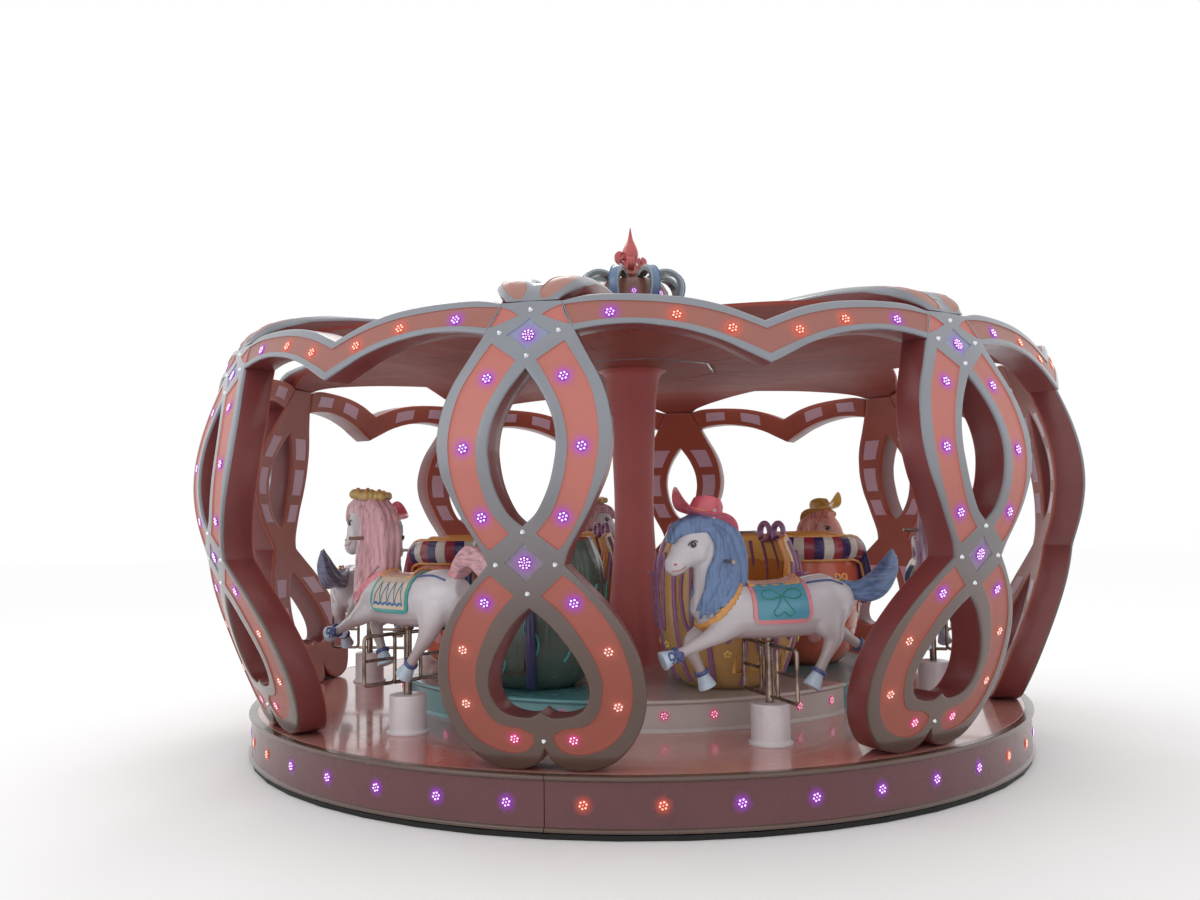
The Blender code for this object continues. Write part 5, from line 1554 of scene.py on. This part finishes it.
for k, (skin, hair, tail_hair, collar_paint, hat_paint, lift_head) in enumerate(HORSES):
    legs = LEGS[k % 2]
    cloth, border, lines, lift = TURNS[k % 2]
    if lift_head not in skins:
        carved = horse_skin(lift_head, legs)
        carved_tree = skin_tree(carved)
        locks = mane(carved_tree, lift_head, fringe=skin is not horse_rose)
        skins[lift_head] = (carved, carved_tree, trunk_tree(lift_head), locks)
    carved, tree, trunk, mane_mesh = skins[lift_head]
    body = Body()
    add_mesh(body, carved, 0)
    add_mesh(body, mane_mesh, 1)
    add_mesh(body, tails[k % 2], 2)
    for rings, sole in legs:
        hoof(body, rings, sole, 8, 9)
    cloth_point = blanket(body, tree, 3, 4)
    if k % 2 == 0:
        for side in (-1.0, 1.0):
            for marks in CLOTH_PETALS:
                seam_line(body, cloth_point, [(u, v * side) for u, v in marks], 0.0042, 5)
    else:
        for side in (-1.0, 1.0):
            for u in (-0.74, -0.36, 0.02, 0.40):
                marks = [(u + 0.36 * t, (0.80 - 0.76 * min(t, 1.0 - t)) * side)
                         for t in np.linspace(0.0, 1.0, 15)]
                tube(body, [cloth_point(*mark, LINE_LIFT) for mark in marks], 0.0040, 5, 6)
            wave = [(-0.76 + 0.127 * i, (0.84 - 0.030 * (i % 2)) * side) for i in range(13)]
            seam_line(body, cloth_point, wave, 0.0068, 5)
    saddle(body, tree, 10)
    for side in (-1.0, 1.0):
        lean = Vector((0.0, -side * math.sin(0.55), math.cos(0.55)))
        trim = [wrap(tree, rider(f, 1.10, 0.0), lean, 0.004) for f in np.linspace(-0.195, -0.430, 9)]
        tube(body, trim, 0.0060, 9, 8)
    collar(body, trunk, 6)
    face(body, tree, lift_head, 12, 13, 14)
    head_top = rider(0.375, 1.600 + lift_head, 0.0)
    if k % 2 == 0:
        wide_hat(body, head_top + Vector((0.0, 0.0, 0.005)), 7, 6)
    else:
        wreath(body, head_top + Vector((0.0, 0.0, 0.020)), (7, 7, 11))
        for n, (f, z) in enumerate(((0.500, 1.560), (0.520, 1.525), (0.512, 1.490))):
            ball(body, rider(f, z + lift_head, 0.0), (0.030, 0.036 - 0.004 * n, 0.028), 6, 12)
    bow(body, on_side(tree, 0.600, 0.880, 1.0, 0.010), 0.036, 9)
    bow(body, on_side(tree, -0.440, 1.240, 1.0, 0.020), 0.032, 6)
    horse_pole(body, 15)
    for side in (-1.0, 1.0):
        footrest(body, side, 15)
    rod(body, rider(0.300, 1.366 + lift_head, -0.200), rider(0.300, 1.366 + lift_head, 0.200), 0.0115, 15)
    mesh = body.mesh(f"horse_{k + 1}")
    azimuth = 30.0 + 60.0 * k
    set_on_circle(mesh, azimuth, horse_circle, lift)
    paints = [skin, hair, tail_hair, cloth, border, lines, collar_paint, hat_paint, hoof_blue, band_blue,
              saddle_tan, gold_trim, horse_white, eye_dark, mouth_rose, bronze]
    piece(f"horse_{k + 1}_shell", mesh, paints, f"horse_{k + 1}_body", [f"horse_{k + 1}"], 42.0)


# Chariots: six oval glass-fibre tubs bolted to the dais, with a dipped entrance on both sides, two moulded
# seats and a foot well. Three kinds, lobed, dotted and leafy, take turns.
TUB_LENGTH = 0.488
TUB_WIDTH = 0.398
TUB_FOOT = 0.4965
RIM_SPAN = 0.48
FOOT_WELL = 0.608
TUB_CIRCLE = 1.250
TUB_PROFILE = [(0.0, 0.56), (0.04, 0.68), (0.12, 0.80), (0.32, 0.945), (0.55, 1.00), (0.75, 0.98),
               (0.88, 0.88), (0.93, 0.82)]
profile_line = np.array(smooth(TUB_PROFILE, 6))


def tub_reach(height):
    return float(np.interp(height, profile_line[:, 0], profile_line[:, 1]))


def rim_height(across):
    """The entrance dips to half the tub's height and climbs to round shoulders."""
    share = min(abs(across) / 0.255, 1.0)
    climb = 1.0 - math.sqrt(max(0.0, 1.0 - share ** 2.2))
    return 0.545 + 0.345 * climb + 0.030 * min(max((abs(across) - 0.25) / 0.1, 0.0), 1.0)


def tub_point(angle, share, inward=0.0, lobes=0.0, out=0.0):
    """A point of the tub wall: share 0 at the foot, 1 at the rim."""
    height = share * rim_height(RIM_SPAN * math.cos(angle))
    reach = tub_reach(height)
    crease = 1.0 - abs(math.cos(6.0 * angle)) ** 0.6
    swell = 1.0 - lobes * crease * math.sin(math.pi * min(share * 0.9 + 0.1, 1.0)) ** 0.5
    length = TUB_LENGTH * reach * swell - inward + out
    width = TUB_WIDTH * reach * swell - inward + out
    return Vector((length * math.cos(angle), width * math.sin(angle), TUB_FOOT + height))


def tub_shell(body, lobes, slot_out, slot_in, slot_rim):
    """The wall, the rolled rim on it and the lining down to the seats."""
    angles = all_round(144)
    shares = list(np.linspace(0.0, 1.0, 19))
    body.rings([[tub_point(a, s, 0.0, lobes) for a in angles] for s in shares], slot_out)
    body.sheet([tub_point(a, 0.0, 0.0, lobes) for a in angles], [tuple(range(143, -1, -1))], slot_out)
    rim = [[tub_point(a, 1.0, i, lobes) + Vector((0.0, 0.0, z)) for a in angles]
           for i, z in ((0.0, 0.0), (0.004, 0.010), (0.014, 0.017), (0.026, 0.017), (0.036, 0.010),
                        (0.040, 0.0))]
    body.rings(rim, slot_rim)
    inner = []
    for s in (1.0, 0.85, 0.7, 0.55):
        ring = []
        for a in angles:
            top = rim_height(RIM_SPAN * math.cos(a))
            share = (0.30 + (s - 0.55) / 0.45 * (top - 0.30)) / top
            ring.append(tub_point(a, share, 0.040))
        inner.append(ring)
    body.rings(inner, slot_in)


def bench(body, side, slot_seat, slot_front):
    """A moulded seat and back at one end, dished in the middle, with a plain front down to the foot well."""
    rows = []
    for u in np.linspace(0.0, 1.0, 9):
        x = 0.170 + (0.418 - 0.170) * u
        reach = 0.345 * math.sqrt(max(0.02, 1.0 - (x / 0.455) ** 2))
        puff = 0.030 * math.sin(math.pi * min(u + 0.12, 1.0)) ** 0.4
        row = []
        for v in np.linspace(-1.0, 1.0, 25):
            swell = puff * (1.0 - abs(v) ** 6) * (1.0 - 0.25 * math.exp(-(v * 7.0) ** 2))
            row.append(Vector((side * x, reach * v, 0.7965 + swell)))
        rows.append(row)
    body.rings(rows, slot_seat, closed=False)
    body.rings([rows[0], [Vector((p.x, p.y, FOOT_WELL)) for p in rows[0]]], slot_front, closed=False)
    back = []
    for u in np.linspace(0.0, 1.0, 7):
        height = 0.35 + 0.46 * u
        reach = tub_reach(height)
        ring = []
        for k in range(21):
            a = math.radians(-62.0 + 124.0 * k / 20.0)
            bulge = 0.020 * math.sin(math.pi * u) ** 0.5 * (0.55 + 0.45 * abs(math.cos(k * math.pi / 4.0)))
            inward = 0.042 + bulge
            level = TUB_FOOT + min(height, rim_height(RIM_SPAN * math.cos(a)) - 0.03)
            ring.append(Vector((side * (TUB_LENGTH * reach - inward) * math.cos(a),
                                (TUB_WIDTH * reach - inward) * math.sin(a), level)))
        back.append(ring)
    body.rings(back, slot_seat, closed=False)


def tub_floor(body, slot):
    corners = [Vector((x, y, FOOT_WELL))
               for x, y in ((-0.17, -0.345), (0.17, -0.345), (0.17, 0.345), (-0.17, 0.345))]
    body.sheet(corners, [(0, 1, 2, 3)], slot)


def flower(body, centre, turn, size, slot_petal, slot_heart):
    """Five petals round a heart."""
    for n in range(5):
        a = 2.0 * math.pi * n / 5 + math.pi / 2
        ball(body, centre + turn @ Vector((size * 0.62 * math.cos(a), size * 0.62 * math.sin(a), 0.0)),
             (size * 0.42, size * 0.42, size * 0.24), slot_petal, 12, turn)
    heart = centre + turn @ Vector((0.0, 0.0, size * 0.16))
    ball(body, heart, (size * 0.26, size * 0.26, size * 0.18), slot_heart, 10, turn)


def wall_frame(angle, share, lift):
    """A point off the tub's wall and axes with Z away from it."""
    spot = tub_point(angle, share)
    east = tub_point(angle + 0.02, share) - spot
    rise = tub_point(angle, share + 0.02) - spot
    normal = east.cross(rise).normalized()
    return spot + normal * lift, facing(normal)


def gold_tub(body):
    """Lobes edged in purple, an orange rolled rim, purple curls over both backs and flowers by the doors."""
    tub_shell(body, 0.050, 0, 2, 1)
    for k in range(12):
        a = math.pi / 12 + k * math.pi / 6
        tube(body, [tub_point(a, s, 0.0, 0.050, 0.006) for s in np.linspace(0.06, 0.98, 16)], 0.0165, 3, 10)
        b = a + math.pi / 12
        shield = []
        for t in np.linspace(-0.5 * math.pi, 1.5 * math.pi, 33):
            swing = 0.105 * math.cos(t) * (0.55 + 0.45 * math.sin(t / 2) ** 2)
            shield.append(tub_point(b + swing, 0.40 + 0.50 * (0.5 + 0.5 * math.sin(t)), 0.0, 0.050, 0.005))
        tube(body, shield, 0.0105, 3, 8)
        centre, turn = wall_frame(b, 0.30, 0.006)
        flower(body, centre, turn, 0.026, 4, 1)
    for k in range(24):
        a = (k + 0.5) * math.pi / 12
        tube(body, [tub_point(a, s, 0.046) for s in np.linspace(0.58, 0.97, 9)], 0.0125, 3, 8)
    for side in (-1.0, 1.0):
        for across in (-0.075, 0.075):
            curl_ring = [Vector((side * 0.345, across + 0.052 * math.cos(t), 1.448 + 0.055 * math.sin(t)))
                         for t in np.linspace(-0.9, 1.6 * math.pi, 22)]
            tube(body, curl_ring, np.interp(np.linspace(0, 1, 22), [0, 0.5, 1], [0.024, 0.019, 0.013]), 3, 10)
        for door in (-1.0, 1.0):
            centre, turn = wall_frame(door * math.pi / 2 + side * door * 0.78, 0.66, 0.020)
            flower(body, centre, turn, 0.050, 4, 1)
            bow(body, centre + turn @ Vector((0.0, 0.085, 0.004)), 0.050, 3, turn)


def dotted_tub(body):
    """A plain round wall with big pink dots, and a striped roll between gold beads round each end's rim."""
    tub_shell(body, 0.0, 0, 2, 1)
    for k in range(14):
        for row, share in enumerate((0.24, 0.60)):
            centre, turn = wall_frame(2.0 * math.pi * (k + 0.5 * row) / 14, share, 0.002)
            ball(body, centre, (0.050, 0.050, 0.007), 3, 18, turn)
    stripes = 18
    roll_reach = math.radians(79.0)
    for side in (0.0, math.pi):
        for n in range(stripes):
            stack = []
            for t in (0.0, 0.5, 1.0):
                a = side + roll_reach * (2.0 * (n + t) / stripes - 1.0)
                centre = tub_point(a, 0.90)
                out = Vector((math.cos(a), math.sin(a), 0.0))
                ring = []
                for c in all_round(20):
                    rise = Vector((0.0, 0.0, 0.090 * math.sin(c)))
                    ring.append(centre + out * (0.015 + 0.078 * math.cos(c)) + rise)
                stack.append(ring)
            body.rings(stack, (5, 6, 4)[n % 3], caps=n in (0, stripes - 1))
        for height in (0.0827, -0.0827):
            piping = []
            for a in np.linspace(side - roll_reach, side + roll_reach, 31):
                out = Vector((math.cos(a), math.sin(a), 0.0))
                piping.append(tub_point(a, 0.90) + out * 0.045 + Vector((0.0, 0.0, height)))
            tube(body, piping, 0.011, 1, 8)
        for edge in (-1.0, 1.0):
            a = side + roll_reach * edge
            end = tub_point(a, 0.90) + Vector((math.cos(a), math.sin(a), 0.0)) * 0.015
            ball(body, end, (0.040, 0.040, 0.088), 1, 14)


def leafy_tub(body):
    """A dark green wall, a brown rolled rim, and dark blue posts with round heads at the doors."""
    tub_shell(body, 0.030, 0, 2, 1)
    for door in (-1.0, 1.0):
        for side in (-1.0, 1.0):
            a = door * math.pi / 2 + side * door * 0.52
            path = [wall_frame(a, s, 0.020)[0] for s in (0.06, 0.3, 0.55, 0.8, 0.98)]
            tube(body, spread(path, 4), 0.030, 3, 14)
            tube(body, spread(path, 4), [0.034, 0.031] * 8 + [0.034], 3, 14)
            ball(body, path[-1] + Vector((0.0, 0.0, 0.036)), (0.040, 0.040, 0.044), 3, 16)
            ball(body, path[-1] + Vector((0.0, 0.0, 0.078)), (0.014, 0.014, 0.014), 4, 10)
    for k in range(12):
        b = k * math.pi / 6
        leaf_path = [tub_point(b + 0.10 * math.sin(2.0 * t), 0.20 + 0.5 * t / math.pi, 0.0, 0.03, 0.005)
                     for t in np.linspace(0.0, math.pi, 13)]
        tube(body, leaf_path, 0.0085, 5, 8)


tub_gold = horse_paint("tub_gold", 192, 152, 96, 0.80)
# The gold tub's lining is a paler copy of its gold: painted light inside the tub, where it lies in shade.
tub_lining_painted_light = horse_paint("tub_lining_painted_light", 236, 184, 104)
tub_orange = horse_paint("tub_orange", 210, 104, 78, 0.82)
tub_rim = horse_paint("tub_rim_orange", 226, 150, 70, 0.82)
tub_purple = horse_paint("tub_purple", 152, 104, 148, 0.84)
tub_green = horse_paint("tub_green", 82, 100, 92, 0.76)
tub_brown = horse_paint("tub_brown", 132, 78, 58, 0.78)
tub_inside = horse_paint("tub_inside", 176, 104, 72, 0.82)
seat_pale = horse_paint("seat_pale", 206, 200, 188, 0.86)
seat_orange = horse_paint("seat_orange", 214, 140, 72, 0.84)
flower_yellow = horse_paint("flower_yellow", 226, 200, 110, 0.86)
dot_pink = horse_paint("dot_pink", 226, 152, 150, 0.88)
stripe_blue = horse_paint("stripe_blue", 56, 48, 98, 0.76)
stripe_red = horse_paint("stripe_red", 150, 52, 66, 0.78)
post_blue = horse_paint("post_blue", 62, 62, 106, 0.76)
tub_styles = [(gold_tub, [tub_gold, tub_rim, tub_lining_painted_light, tub_purple, flower_yellow, tub_gold, seat_orange]),
              (dotted_tub, [tub_orange, gold_trim, tub_inside, dot_pink, stripe_red, stripe_blue, seat_pale]),
              (leafy_tub, [tub_green, tub_brown, tub_inside, post_blue, tub_purple, teal_border, seat_pale])]
for k in range(6):
    build, paints = tub_styles[k % 3]
    body = Body()
    build(body)
    for side in (-1.0, 1.0):
        bench(body, side, 6, 2)
    tub_floor(body, 2)
    mesh = body.mesh(f"chariot_{k + 1}")
    azimuth = 38.0 + 60.0 * k
    set_on_circle(mesh, azimuth, TUB_CIRCLE, 0.0)
    piece(f"chariot_{k + 1}_shell", mesh, paints, "platform", [f"chariot_{k + 1}"], 42.0)


# Lights and floor: a pale floor under broad soft light, brightest from above, as in the hazy photograph
def area_light(name, place, target, size, power, color=(1.0, 1.0, 1.0)):
    light = bpy.data.objects.new(name, bpy.data.lights.new(name, "AREA"))
    light.data.shape = "DISK"
    light.data.size = size
    light.data.energy = power
    light.data.color = color
    scene.collection.objects.link(light)
    light.location = place
    light.rotation_euler = (Vector(target) - Vector(place)).to_track_quat("-Z", "Y").to_euler()


area_light("key_light", (-3.0, 5.0, 8.5), (0.0, 0.0, 1.8), 4.0, 160.0)
area_light("fill_light", (-5.0, -8.0, 5.0), (0.0, 0.0, 1.2), 5.0, 60.0)
world = bpy.data.worlds.new("studio")
scene.world = world
world.use_nodes = True
world.node_tree.nodes["Background"].inputs["Color"].default_value = (1.0, 1.0, 1.0, 1.0)
world.node_tree.nodes["Background"].inputs["Strength"].default_value = 1.0
scene.view_settings.view_transform = "Standard"
floor_body = Body()
floor_rings = [[around(3.75 * k, r, -0.001) for k in range(96)] for r in (0.5, 6.0, 40.0)]
floor_body.rings(floor_rings, 0)
floor_mesh = floor_body.mesh("floor")
floor_paint = Paint("studio_floor", linear(253, 253, 253), 0.75)
floor_paint.feed("Roughness", floor_paint.noise(1.5) * 0.1 + 0.7)
floor_mesh.materials.append(floor_paint.material)
floor = bpy.data.objects.new("floor", floor_mesh)
scene.collection.objects.link(floor)
